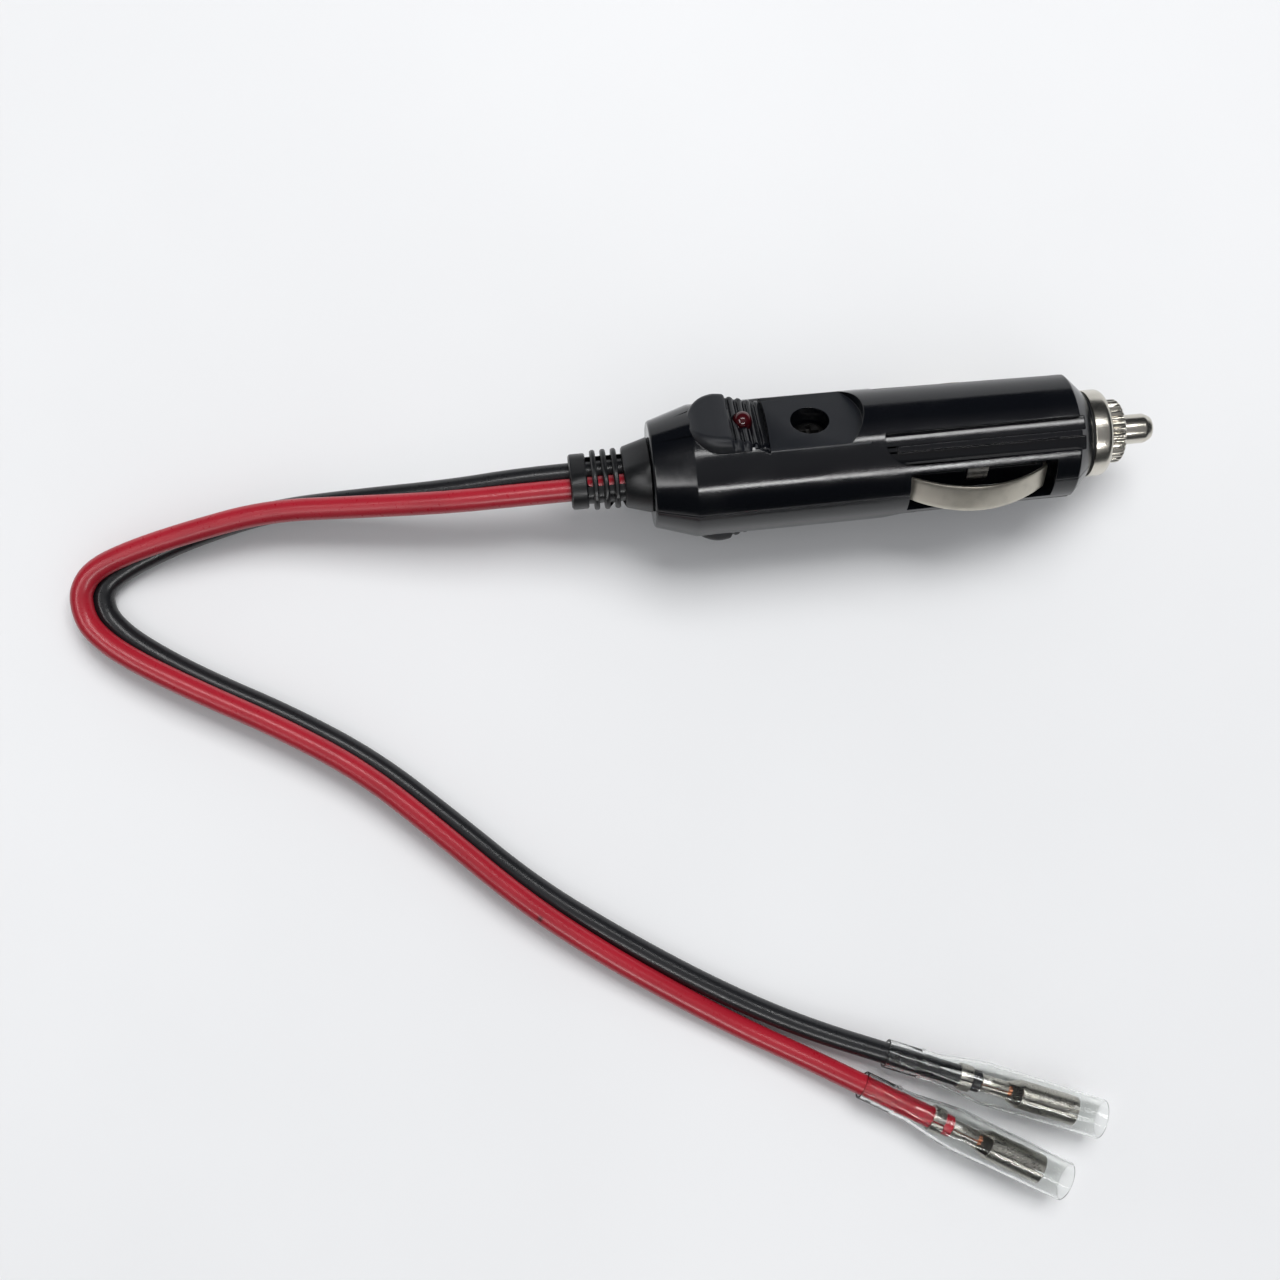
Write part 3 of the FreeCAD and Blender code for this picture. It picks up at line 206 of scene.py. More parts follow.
class Signal:
    """Output of a shader node, with arithmetic that adds Math nodes."""

    def __init__(self, finish, socket):
        self.finish = finish
        self.socket = socket

    def _math(self, operation, *values):
        return self.finish.node("ShaderNodeMath", {"operation": operation}, list(values))

    def __add__(self, other):
        return self._math("ADD", self, other)

    __radd__ = __add__

    def __sub__(self, other):
        return self._math("SUBTRACT", self, other)

    def __rsub__(self, other):
        return self._math("SUBTRACT", other, self)

    def __mul__(self, other):
        return self._math("MULTIPLY", self, other)

    __rmul__ = __mul__

    def __truediv__(self, other):
        return self._math("DIVIDE", self, other)

    def step(self, low, high):
        """0 below low, 1 above high, smooth between."""
        return self.finish.node("ShaderNodeMapRange", {"interpolation_type": "SMOOTHSTEP"},
                                {"Value": self, "From Min": low, "From Max": high})


class Finish:
    """One material: its node tree and its Principled shader."""

    def __init__(self, name, colour, roughness, metallic=0.0, **plain):
        self.material = bpy.data.materials.new(name)
        self.material.use_nodes = True
        self.tree = self.material.node_tree
        self.shader = self.tree.nodes["Principled BSDF"]
        self.material.diffuse_color = (*colour, 1)
        self.feed("Base Color", (*colour, 1))
        self.feed("Roughness", roughness)
        self.feed("Metallic", metallic)
        for key, value in plain.items():
            self.feed(key.replace("_", " "), value)

    def feed(self, socket, value):
        target = self.shader.inputs[socket] if isinstance(socket, str) else socket
        if isinstance(value, Signal):
            self.tree.links.new(value.socket, target)
        else:
            target.default_value = value

    def node(self, kind, settings=None, inputs=None, output=0):
        made = self.tree.nodes.new(kind)
        for key, value in (settings or {}).items():
            if key == "stops":
                ramp = made.color_ramp
                while len(ramp.elements) < len(value):
                    ramp.elements.new(0.5)
                for element, (place, colour) in zip(ramp.elements, value):
                    element.position = place
                    element.color = colour
            else:
                setattr(made, key, value)
        pairs = enumerate(inputs) if isinstance(inputs, list) else (inputs or {}).items()
        for key, value in pairs:
            self.feed(made.inputs[key], value)
        return Signal(self, made.outputs[output])

    def place(self, scale=(1, 1, 1), turn=(0, 0, 0), move=(0, 0, 0)):
        """Object coordinates in millimetres, scaled and turned."""
        coordinates = self.node("ShaderNodeTexCoord", output=3)
        factors = tuple(value / MM for value in scale)
        return self.node("ShaderNodeMapping", None,
                         {"Vector": coordinates, "Scale": factors, "Rotation": turn,
                          "Location": move})

    def noise(self, scale, detail=3.0, stretch=(1, 1, 1), turn=(0, 0, 0), roughness=0.5):
        return self.node("ShaderNodeTexNoise", None,
                         {"Vector": self.place(stretch, turn), "Scale": scale, "Detail": detail,
                          "Roughness": roughness})

    def blend(self, mask, first, second):
        """Colour that goes from first to second with a mask."""
        return self.node("ShaderNodeMix", {"data_type": "RGBA"},
                         {"Factor": mask, "A": (*first, 1), "B": (*second, 1)}, output=2)

    def bump(self, height, strength, distance=0.05):
        normal = self.node("ShaderNodeBump", None,
                           {"Height": height, "Strength": strength, "Distance": distance * MM})
        self.feed("Normal", normal)
        return self


def plastic(name, colour, roughness, grain, peel, dust):
    """Moulded plastic with fine orange peel, faint rubbing and a little dust."""
    finish = Finish(name, colour, roughness, IOR=1.5)
    smear = finish.noise(0.22, 4.0, stretch=(0.5, 1, 1))
    fine = finish.noise(grain, 2.0)
    wave = finish.noise(0.55, 2.0)
    specks = finish.noise(5.0, 3.0, roughness=0.7).step(0.70, 0.80)
    paler = tuple(value + dust for value in colour)
    finish.feed("Roughness", smear.step(0.35, 0.75) * 0.09 + roughness + specks * 0.25)
    finish.feed("Base Color", finish.blend(specks * 0.5, colour, paler))
    return finish.bump(fine * 0.35 + wave * peel, 0.35, 0.03)


def metal(name, colour, roughness, brush, darker=0.75):
    """Plated or rolled metal with brush marks along one direction and a few dull patches."""
    finish = Finish(name, colour, roughness, metallic=1.0)
    marks = finish.noise(2.2, 4.0, stretch=brush)
    patch = finish.noise(0.35, 4.0)
    dull = tuple(value * darker for value in colour)
    finish.feed("Base Color", finish.blend(patch.step(0.45, 0.75) * 0.6, colour, dull))
    finish.feed("Roughness", marks * 0.16 + patch * 0.08 + (roughness - 0.1))
    return finish.bump(marks, 0.25, 0.02)


def rubber(name, colour, roughness):
    finish = Finish(name, colour, roughness, IOR=1.48)
    fine = finish.noise(9.0, 3.0)
    bloom = finish.noise(0.5, 5.0)
    finish.feed("Roughness", bloom * 0.22 + (roughness - 0.1))
    finish.feed("Base Color", finish.blend(bloom.step(0.5, 0.8) * 0.4, colour, (0.012, 0.0125, 0.014)))
    return finish.bump(fine, 0.3, 0.03)


def insulation(name, colour, dark, marks=()):
    """Smooth soft-plastic insulation with faint drawing lines, rubs and a few dark marks."""
    finish = Finish(name, colour, 0.3, IOR=1.5)
    tone = finish.noise(0.12, 3.0)
    rub = finish.noise(1.6, 4.0, roughness=0.65)
    base = finish.blend(tone.step(0.3, 0.75) * 0.5, colour, dark)
    for place in marks:
        offset = finish.place(move=tuple(-value / MM for value in place))
        distance = finish.node("ShaderNodeVectorMath", {"operation": "LENGTH"}, [offset], output=1)
        speck = 1 - (distance + rub * 0.9).step(0.75, 1.25)
        base = finish.node("ShaderNodeMix", {"data_type": "RGBA"},
                           {"Factor": speck * 0.85, "A": base, "B": (0.03, 0.01, 0.012, 1)}, output=2)
    finish.feed("Base Color", base)
    finish.feed("Roughness", rub * 0.2 + 0.2)
    return finish.bump(rub * 0.5 + finish.noise(0.5, 2.0), 0.3, 0.05)


def clear_plastic(name):
    """Soft clear tube: nearly colourless, slightly cloudy, with shallow wrinkles."""
    finish = Finish(name, (0.965, 0.975, 0.965), 0.06, IOR=1.36, Transmission_Weight=1.0)
    ripple = finish.noise(0.16, 2.0)
    fine = finish.noise(1.4, 3.0)
    finish.feed("Roughness", fine * 0.07 + 0.015)
    return finish.bump(ripple + fine * 0.05, 0.4, 0.6)


def glow_red(name):
    finish = Finish(name, (0.14, 0.004, 0.007), 0.1, IOR=1.52)
    core = finish.noise(1.2, 2.0)
    finish.feed("Base Color", finish.blend(core, (0.055, 0.0025, 0.005), (0.02, 0.0012, 0.0025)))
    return finish.bump(finish.noise(3.0, 2.0), 0.1, 0.02)


def build_finishes():
    colours = bpy.context.scene.plug_colours
    shell = tuple(colours.shell)
    nickel = tuple(colours.nickel)
    red = tuple(colours.red)
    return {
        "shell": plastic("Gloss black moulding", shell, 0.11, 14.0, 0.8, 0.012),
        "shell_satin": plastic("Satin black moulding", tuple(value * 2.2 for value in shell), 0.42,
                               9.0, 0.4, 0.012),
        "nickel": metal("Nickel plate", nickel, 0.21, (6, 0.6, 0.6)),
        "spring_steel": metal("Rolled spring strip", (0.53, 0.50, 0.43), 0.34, (0.25, 5, 5)),
        "screw_steel": metal("Blackened screw", (0.09, 0.088, 0.085), 0.4, (3, 3, 3)),
        "lamp_red": glow_red("Red lamp"),
        "resistor_body": plastic("Resistor coat", (0.5, 0.38, 0.24), 0.5, 6.0, 0.5, 0.02),
        "tinned_wire": metal("Tinned wire", (0.6, 0.6, 0.6), 0.35, (1, 1, 1)),
        "relief_rubber": rubber("Relief rubber", (0.0045, 0.0048, 0.0056), 0.34),
        "washer_rubber": rubber("Washer rubber", (0.01, 0.01, 0.011), 0.5),
        "red_insulation": insulation(
            "Red insulation", red, tuple(value * 0.72 for value in red),
            ((-0.1060, -0.0337, 0.0070), (-0.0605, -0.0718, 0.0062))),
        "black_insulation": insulation("Black insulation", (0.009, 0.0095, 0.011),
                                       (0.014, 0.0145, 0.016)),
        "copper": metal("Bare copper", (0.62, 0.27, 0.15), 0.34, (0.3, 4, 4)),
        "tinned_brass": metal("Tinned brass", (0.46, 0.44, 0.4), 0.27, (0.3, 3, 3), 0.6),
        "brass": metal("Stamped brass", (0.62, 0.45, 0.2), 0.3, (1, 1, 1)),
        "clear_sleeve": clear_plastic("Clear sleeve"),
        "fuse_glass": Finish("Fuse glass", (0.95, 0.97, 0.97), 0.02, IOR=1.5,
                             Transmission_Weight=1.0),
    }


FINISHES = {}


def object_mode():
    if bpy.context.object and bpy.context.object.mode != "OBJECT":
        bpy.ops.object.mode_set(mode="OBJECT")


def only(*pieces):
    """Selects these pieces alone, the first one active."""
    object_mode()
    bpy.ops.object.select_all(action="DESELECT")
    for piece in pieces:
        piece.select_set(True)
    bpy.context.view_layer.objects.active = pieces[0]
    return pieces[0]


def chain(points):
    """Open chain of edges through points, extruded from one vertex; left in edit mode."""
    object_mode()
    bpy.ops.object.select_all(action="DESELECT")
    bpy.ops.mesh.primitive_plane_add(size=1, location=(0, 0, 0))
    bpy.ops.object.mode_set(mode="EDIT")
    bpy.ops.mesh.merge(type="CENTER")
    bpy.ops.transform.translate(value=points[0])
    for start, end in zip(points, points[1:]):
        step = tuple(b - a for a, b in zip(start, end))
        bpy.ops.mesh.extrude_vertices_move(TRANSFORM_OT_translate={"value": step})
    return bpy.context.object


def rounded(outline):
    """Outline points (a, b) or (a, b, radius); a corner with a radius becomes a short arc."""
    points = []
    for index, corner in enumerate(outline):
        if len(corner) == 2:
            points.append(corner)
            continue
        here = Vector(corner[:2])
        before = (Vector(outline[index - 1][:2]) - here).normalized()
        after = (Vector(outline[(index + 1) % len(outline)][:2]) - here).normalized()
        half = before.angle(after) / 2
        centre = here + (before + after).normalized() * (corner[2] / math.sin(half))
        start = here + before * (corner[2] / math.tan(half)) - centre
        end = here + after * (corner[2] / math.tan(half)) - centre
        sweep = start.angle_signed(end)
        count = max(2, round(abs(sweep) / math.radians(14)))
        for part in range(count + 1):
            arm = start.copy()
            arm.rotate(Matrix.Rotation(-sweep * part / count, 2))
            points.append(tuple(centre + arm))
    return points


def turned(name, outline, steps=None, close=False):
    """Piece turned about X from an outline of (station, radius[, round]) points."""
    steps = steps or bpy.context.scene.plug_sizes.turned_steps
    points = [(x, 0, radius) for x, radius in rounded(outline)]
    if close:
        points.append(points[0])
    piece = chain(points)
    bpy.ops.mesh.select_all(action="SELECT")
    bpy.ops.mesh.spin(steps=steps, angle=2 * math.pi, center=(0, 0, 0), axis=(1, 0, 0))
    bpy.ops.mesh.select_all(action="SELECT")
    bpy.ops.mesh.remove_doubles(threshold=1e-4)
    bpy.ops.mesh.normals_make_consistent(inside=False)
    bpy.ops.object.mode_set(mode="OBJECT")
    piece.name = name
    return piece


def prism(outline, direction, depth):
    """Closed outline of 3-D points, filled and extruded along a direction."""
    piece = chain(list(outline) + [outline[0]])
    bpy.ops.mesh.select_all(action="SELECT")
    bpy.ops.mesh.remove_doubles(threshold=1e-4)
    bpy.ops.mesh.edge_face_add()
    step = tuple(value * depth for value in direction)
    bpy.ops.mesh.extrude_region_move(TRANSFORM_OT_translate={"value": step})
    bpy.ops.mesh.select_all(action="SELECT")
    bpy.ops.mesh.normals_make_consistent(inside=False)
    bpy.ops.object.mode_set(mode="OBJECT")
    return piece


def lofted(name, stations, section, count):
    """Closed skin through sections: section(x, share) is the point (y, z) at a share round it."""
    object_mode()
    bpy.ops.object.select_all(action="DESELECT")
    bpy.ops.mesh.primitive_grid_add(x_subdivisions=len(stations) - 1, y_subdivisions=count, size=2)
    piece = bpy.context.object
    piece.name = name
    for vertex in piece.data.vertices:
        x = stations[round((vertex.co.x + 1) / 2 * (len(stations) - 1))]
        vertex.co = (x, *section(x, (vertex.co.y + 1) / 2))
    bpy.ops.object.mode_set(mode="EDIT")
    bpy.ops.mesh.select_all(action="SELECT")
    bpy.ops.mesh.remove_doubles(threshold=1e-4)
    bpy.ops.mesh.fill_holes(sides=0)
    bpy.ops.mesh.normals_make_consistent(inside=False)
    bpy.ops.object.mode_set(mode="OBJECT")
    return piece


def block(x_range, y_range, z_range):
    low = Vector((x_range[0], y_range[0], z_range[0]))
    high = Vector((x_range[1], y_range[1], z_range[1]))
    object_mode()
    bpy.ops.object.select_all(action="DESELECT")
    bpy.ops.mesh.primitive_cube_add(size=1, location=(low + high) / 2)
    bpy.context.object.scale = high - low
    bpy.ops.object.transform_apply(location=True, rotation=True, scale=True)
    return bpy.context.object


def cylinder(centre, radius, depth, axis="Z", steps=96):
    turn = {"X": (0, math.pi / 2, 0), "Y": (math.pi / 2, 0, 0), "Z": (0, 0, 0)}[axis]
    object_mode()
    bpy.ops.object.select_all(action="DESELECT")
    bpy.ops.mesh.primitive_cylinder_add(vertices=steps, radius=radius, depth=depth, location=centre,
                                        rotation=turn)
    bpy.ops.object.transform_apply(location=True, rotation=True, scale=True)
    return bpy.context.object


def rod(start, end, radius, steps=96):
    return cylinder(((start + end) / 2, 0, 0), radius, end - start, "X", steps)


def apply_all(piece):
    only(piece)
    for modifier in list(piece.modifiers):
        bpy.ops.object.modifier_apply(modifier=modifier.name)
    return piece


def boolean(piece, tool, operation="DIFFERENCE", keep=False):
    """Cuts, joins or crosses a piece with a tool, which is then removed unless kept."""
    cut = piece.modifiers.new("cut", "BOOLEAN")
    cut.operation = operation
    cut.solver = "EXACT"
    cut.object = tool
    apply_all(piece)
    if not keep:
        bpy.data.objects.remove(tool, do_unlink=True)
    return piece


def spun(tool, angle):
    """The tool, turned about the plug's axis."""
    only(tool)
    tool.rotation_euler = (angle, 0, 0)
    bpy.ops.object.transform_apply(location=True, rotation=True, scale=True)
    return tool


def duplicate(piece, name=None):
    copy = piece.copy()
    copy.data = piece.data.copy()
    bpy.context.collection.objects.link(copy)
    if name:
        copy.name = name
    return copy


def welded(piece):
    """Takes out the slivers that cuts leave, which would stop the round on an edge."""
    only(piece)
    bpy.ops.object.mode_set(mode="EDIT")
    bpy.ops.mesh.select_all(action="SELECT")
    bpy.ops.mesh.remove_doubles(threshold=0.02)
    bpy.ops.mesh.dissolve_degenerate(threshold=0.02)
    bpy.ops.mesh.dissolve_limited(angle_limit=math.radians(0.3))
    bpy.ops.object.mode_set(mode="OBJECT")
    return piece


def bevelled(piece, width, segments=2, angle=35, clamp=True):
    edge = piece.modifiers.new("edge", "BEVEL")
    edge.width = width
    edge.segments = segments
    edge.limit_method = "ANGLE"
    edge.angle_limit = math.radians(angle)
    edge.use_clamp_overlap = clamp
    edge.miter_outer = "MITER_ARC"
    return apply_all(piece)


def smooth(piece, angle=32, weighted=False):
    only(piece)
    bpy.ops.object.shade_smooth_by_angle(angle=math.radians(angle))
    if weighted:
        piece.modifiers.new("normals", "WEIGHTED_NORMAL").keep_sharp = True
        apply_all(piece)
    return piece


def laid(piece, matrix=None):
    """Moves a piece from the plug frame to its place on the table and applies the move."""
    only(piece)
    piece.matrix_world = (matrix or LAY) @ piece.matrix_world
    bpy.ops.object.transform_apply(location=True, rotation=True, scale=True)
    return piece


def finished(piece, name, slot, body, *nodes, finish=None):
    """Names, colours and rides a piece, and hides the CAD nodes that it stands for."""
    piece.name = name
    piece.data.name = name
    if not piece.data.materials:
        piece.data.materials.append(FINISHES[finish or slot].material)
    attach(piece, body)
    if nodes:
        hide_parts(*nodes)
    return piece


def dress(node, finish):
    """Gives a CAD node its finish."""
    piece = frame["nodes"][node]
    piece.data.materials.clear()
    piece.data.materials.append(FINISHES[finish].material)
    return piece


def barrel_radius(x):
    """Radius of the plain barrel at a station."""
    if x < FRUSTUM_LENGTH:
        return REAR_RADIUS + (BARREL_RADIUS - REAR_RADIUS) * x / FRUSTUM_LENGTH
    if x < MID_STATION:
        share = (x - FRUSTUM_LENGTH) / (MID_STATION - FRUSTUM_LENGTH)
        return BARREL_RADIUS + (MID_RADIUS - BARREL_RADIUS) * share
    share = (x - MID_STATION) / (BARREL_END - MID_STATION)
    return MID_RADIUS + (FRONT_RADIUS - MID_RADIUS) * share


def ramp_height(x):
    """Height of the rib tops on the front slope of the grip."""
    return RAMP_TOP - (x - RAMP_START) * (RAMP_TOP - RAMP_FOOT) / (RAMP_END - RAMP_START)


def crown_height(x):
    """Height of the grip's back: a round rear, a long crown, a valley, then four round ribs."""
    if x < GRIP_PEAK:
        rise = (1 - ((GRIP_PEAK - x) / (GRIP_PEAK - GRIP_START)) ** 3) ** (1 / 3)
        return GRIP_FOOT + (GRIP_HEIGHT - GRIP_FOOT) * rise
    turns = (x - RAMP_START) / RIB_PITCH - RIB_SHIFT
    wave = 0.5 + 0.5 * math.cos(2 * math.pi * turns) if turns < RIB_COUNT - 0.5 else 0.0
    ribbed = ramp_height(x) - RIB_DEPTH * wave ** 1.8
    share = min(1.0, (x - GRIP_PEAK) / (RAMP_START - 0.15 - GRIP_PEAK))
    pad = GRIP_HEIGHT - (GRIP_HEIGHT - PAD_END_HEIGHT) * share ** 2
    edge = min(1.0, max(0.0, (x - RAMP_START + 0.55) / 0.55))
    return ribbed if x > RAMP_START else pad - (pad - ribbed) * edge ** 3


def grip_section(x, share):
    """Point at a share round the grip's section: flanks, round shoulders and a nearly flat back."""
    half = GRIP_HALF
    if x < GRIP_START + GRIP_REAR_LENGTH:
        back = 1 - (x - GRIP_START) / GRIP_REAR_LENGTH
        half *= max(0.05, math.sqrt(1 - back ** 2))
    top = crown_height(x)
    corner = min(GRIP_CORNER, 0.9 * half)
    side = 1 if share < 0.5 else -1
    along = 2 * min(share, 1 - share)
    if along < 0.2:
        return side * half * along / 0.2, 2.0
    if along < 0.35:
        return side * half, 2.0 + (top - corner - 2.0) * (along - 0.2) / 0.15
    if along < 0.75:
        angle = math.pi / 2 * (along - 0.35) / 0.4
        return (side * (half - corner * (1 - math.cos(angle))),
                top - corner * (1 - math.sin(angle)))
    return side * (half - corner) * (1 - along) / 0.25, top


def grip():
    """Thumb grip on the +Z side."""
    rear = [GRIP_START + (GRIP_PEAK - GRIP_START) * (1 - math.cos(math.pi / 2 * k / 24))
            for k in range(25)]
    front = [GRIP_PEAK + (RAMP_END - GRIP_PEAK) * k / 110 for k in range(1, 111)]
    return lofted("grip", rear + front, grip_section, 80)


def ramp_tool():
    """Space over the ribbed slope, down to the bottoms of its grooves."""
    start, end = (ramp_height(x) - RIB_DEPTH for x in (RAMP_START, RAMP_END))
    outline = [(RAMP_START, start), (RAMP_END, end), (RAMP_END, 14), (RAMP_START, 14)]
    return prism([(x, -12, z) for x, z in outline], (0, 1, 0), 24)


def panel_tool():
    """Space over the flat panel, with its round front wall."""
    half_chord = math.sqrt(MID_RADIUS ** 2 - PANEL_HEIGHT ** 2)
    radius = (half_chord ** 2 + PANEL_BULGE ** 2) / (2 * PANEL_BULGE)
    reach = math.asin(12 / radius) if radius > 12 else math.pi / 2
    outline = [(18.5, -12), (PANEL_FRONT - radius, -12)]
    start = -min(reach, math.pi / 2)
    for part in range(33):
        angle = start + 2 * abs(start) * part / 32
        outline.append((PANEL_FRONT - radius + radius * math.cos(angle), radius * math.sin(angle)))
    outline += [(PANEL_FRONT - radius, 12), (18.5, 12)]
    return prism([(x, y, PANEL_HEIGHT) for x, y in outline], (0, 0, 1), 8)


def pocket_tool():
    """Space of one long pocket on the +Z side, with its rib left standing."""
    half, radius, front = POCKET_HALF, POCKET_ROUND, CONE_END + 2
    centre = (POCKET_START + radius, radius - half)
    sharp = math.pi - math.asin((half - centre[1]) / radius)
    outline = []
    for part in range(21):
        angle = sharp + (1.5 * math.pi - sharp) * part / 20
        outline.append((centre[0] + radius * math.cos(angle), centre[1] + radius * math.sin(angle)))
    outline += [(front, -half), (front, half)]
    space = prism([(x, y, 3.0) for x, y in outline], (0, 0, 1), 12)
    boolean(space, rod(0, CONE_END + 6, POCKET_FLOOR, 192))
    side = POCKET_RIB_HALF
    outline = [(front + 1, side)]
    for part in range(17):
        angle = math.pi / 2 + math.pi * part / 16
        outline.append((POCKET_RIB_START + side * math.cos(angle), side * math.sin(angle)))
    outline.append((front + 1, -side))
    rib = prism([(x, y, 5.0) for x, y in outline], (0, 0, 1), POCKET_RIB_TOP - 5.0)
    return boolean(space, rib)


def slot_tool():
    """Space of one side slot on the +Y side, undercut at both ends."""
    mouth = block((SLOT_START, SLOT_END), (SLOT_FLOOR, 14), (-SLOT_HALF, SLOT_HALF))
    half = STRIP_HALF + 0.5
    return boolean(mouth, block((SLOT_START - 1.6, SLOT_END + 0.8), (SLOT_FLOOR, SLOT_LIP),
                                (-half, half)), "UNION")


def hollow_tools():
    """Tools for the room inside the shells."""
    inner = BARREL_RADIUS - WALL
    room = turned("room", [(REAR_WALL, 0), (REAR_WALL, REAR_RADIUS - WALL + 0.4),
                           (FRUSTUM_LENGTH, inner), (PARTITION, inner), (PARTITION, 0)], 96)
    boolean(room, block((0, 40), (-12, 12), (-CHAMBER_HALF, CHAMBER_HALF)), "INTERSECT")
    strap = turned("strap room", [(51.0, 5.6), (51.0, 6.3), (54.6, 6.3), (54.6, 5.6)], 96, close=True)
    return [room, rod(32.75, CONE_END + 2, 3.6), rod(CONE_END - 6.1, CONE_END + 2, 5.1),
            rod(-1, REAR_WALL + 1, 4.63), strap,
            block((29, 51.1), (5.6, 6.3), (-1.3, 1.3)), block((29, 33.35), (-6.6, 0), (-1.1, 1.1))]


def paint_satin(piece):
    """Second finish on the grips and on the flat panels."""
    piece.data.materials.append(FINISHES["shell"].material)
    piece.data.materials.append(FINISHES["shell_satin"].material)
    for face in piece.data.polygons:
        x, y, z = face.center
        on_panel = 18.0 < x < PANEL_FRONT + 0.1 and abs(abs(z) - PANEL_HEIGHT) < 0.05
        proud = math.hypot(y, z) > barrel_radius(x) + 0.06
        on_grip = GRIP_START < x < RAMP_END and abs(y) < GRIP_HALF + 0.2 and proud
        if on_panel or on_grip:
            face.material_index = 1


class PLUG_OT_shells(bpy.types.Operator):
    """Both moulded half shells of the housing"""
    bl_idname = "plug.shells"
    bl_label = "Housing shells"

    def execute(self, context):
        sizes = context.scene.plug_sizes
        body = turned("shell", [(0, 0), (0, REAR_RADIUS, 0.5), (FRUSTUM_LENGTH, BARREL_RADIUS, 1.2),
                                (MID_STATION, MID_RADIUS), (BARREL_END, FRONT_RADIUS, 0.5),
                                (CONE_END, CONE_TIP_RADIUS, 0.2), (CONE_END, 0)], 192)
        for angle in (0, math.pi):
            boolean(body, spun(ramp_tool(), angle))
            boolean(body, spun(grip(), angle), "UNION")
        for tool in hollow_tools():
            boolean(body, tool)
        boss_end = CHAMBER_HALF + 0.2
        boolean(body, cylinder((SCREW_STATION, 0, 0), 2.4, 2 * boss_end), "UNION")
        boolean(body, cylinder((SCREW_STATION, 0, (SCREW_SEAT - WALL + boss_end) / 2),
                               SCREW_RECESS + 0.8, boss_end - SCREW_SEAT + WALL), "UNION")
        for angle in (0, math.pi):
            boolean(body, spun(panel_tool(), angle))
            boolean(body, spun(slot_tool(), angle))
        for angle in (math.pi / 4, 5 * math.pi / 4):
            boolean(body, spun(pocket_tool(), angle))
        for angle in (-math.pi / 4, 3 * math.pi / 4):
            tool = pocket_tool()
            tool.scale = (1, -1, 1)
            only(tool)
            bpy.ops.object.transform_apply(location=True, rotation=True, scale=True)
            bpy.ops.object.mode_set(mode="EDIT")
            bpy.ops.mesh.select_all(action="SELECT")
            bpy.ops.mesh.normals_make_consistent(inside=False)
            bpy.ops.object.mode_set(mode="OBJECT")
            boolean(body, spun(tool, angle))
        boolean(body, cylinder((SCREW_STATION, 0, SCREW_SEAT + 5), SCREW_RECESS, 10))
        boolean(body, cylinder((SCREW_STATION, 0, -0.1), 1.35, 10))
        boolean(body, cylinder((LAMP_STATION, 0, 8), LAMP_RADIUS + 0.05, 16, steps=64))
        lower = duplicate(body)
        boolean(body, block((-2, FAR * 2), (-20, 20), (0.0, 20)), "INTERSECT")
        boolean(lower, block((-2, FAR * 2), (-20, 20), (-20, 0.0)), "INTERSECT")
        for piece, name in ((body, "upper"), (lower, "lower")):
            bevelled(welded(piece), sizes.edge_round, 3, 30, clamp=False)
            paint_satin(piece)
            smooth(piece, 33, weighted=True)
            laid(piece)
            finished(piece, name + "_shell", "shell", "housing", name + "_housing")
        return {"FINISHED"}


class PLUG_OT_lamp_and_screw(bpy.types.Operator):
    """Red lamp in the ribs and the recessed screw of the flat panel"""
    bl_idname = "plug.lamp_and_screw"
    bl_label = "Lamp and screw"

    def execute(self, context):
        high = CHAMBER_HALF - GAP
        low = high - 0.8
        dome = ramp_height(LAMP_STATION) + LAMP_PROUD - LAMP_RADIUS
        outline = [(low - 0.4, 0), (low - 0.4, LAMP_RADIUS), (low, LAMP_RADIUS), (low, 1.85, 0.05),
                   (high, 1.85, 0.05), (high, LAMP_RADIUS), (dome, LAMP_RADIUS)]
        outline += [(dome + LAMP_RADIUS * math.sin(a), LAMP_RADIUS * math.cos(a))
                    for a in (math.pi / 2 * k / 12 for k in range(1, 13))]
        lamp = turned("lamp", outline, 64)
        stand = Matrix.Translation((LAMP_STATION, 0, 0)) @ Matrix.Rotation(-math.pi / 2, 4, "Y")
        laid(lamp, LAY @ stand)
        smooth(lamp, 40)
        finished(lamp, "lamp_lens", "lamp_red", "housing", "indicator_led")

        head_top, seat = 6.1, SCREW_SEAT
        screw = turned("screw", [(seat - 9.0, 0), (seat - 9.0, 0.5), (seat - 8.2, 1.3), (seat, 1.3),
                                 (seat, 2.75), (head_top - 0.5, 2.75, 0.2), (head_top, 1.9, 0.5),
                                 (head_top, 0)], 96)
        for wide, long in ((0.38, 1.65), (1.65, 0.38)):
            tool = block((head_top - 0.95, head_top + 1), (-wide, wide), (-long, long))
            boolean(screw, tool)
        bevelled(screw, 0.06, 2, 40)
        smooth(screw, 35)
        stand = Matrix.Translation((SCREW_STATION, 0, 0)) @ Matrix.Rotation(-math.pi / 2, 4, "Y")
        laid(screw, LAY @ stand)
        finished(screw, "screw", "screw_steel", "housing", "housing_screw")
        return {"FINISHED"}


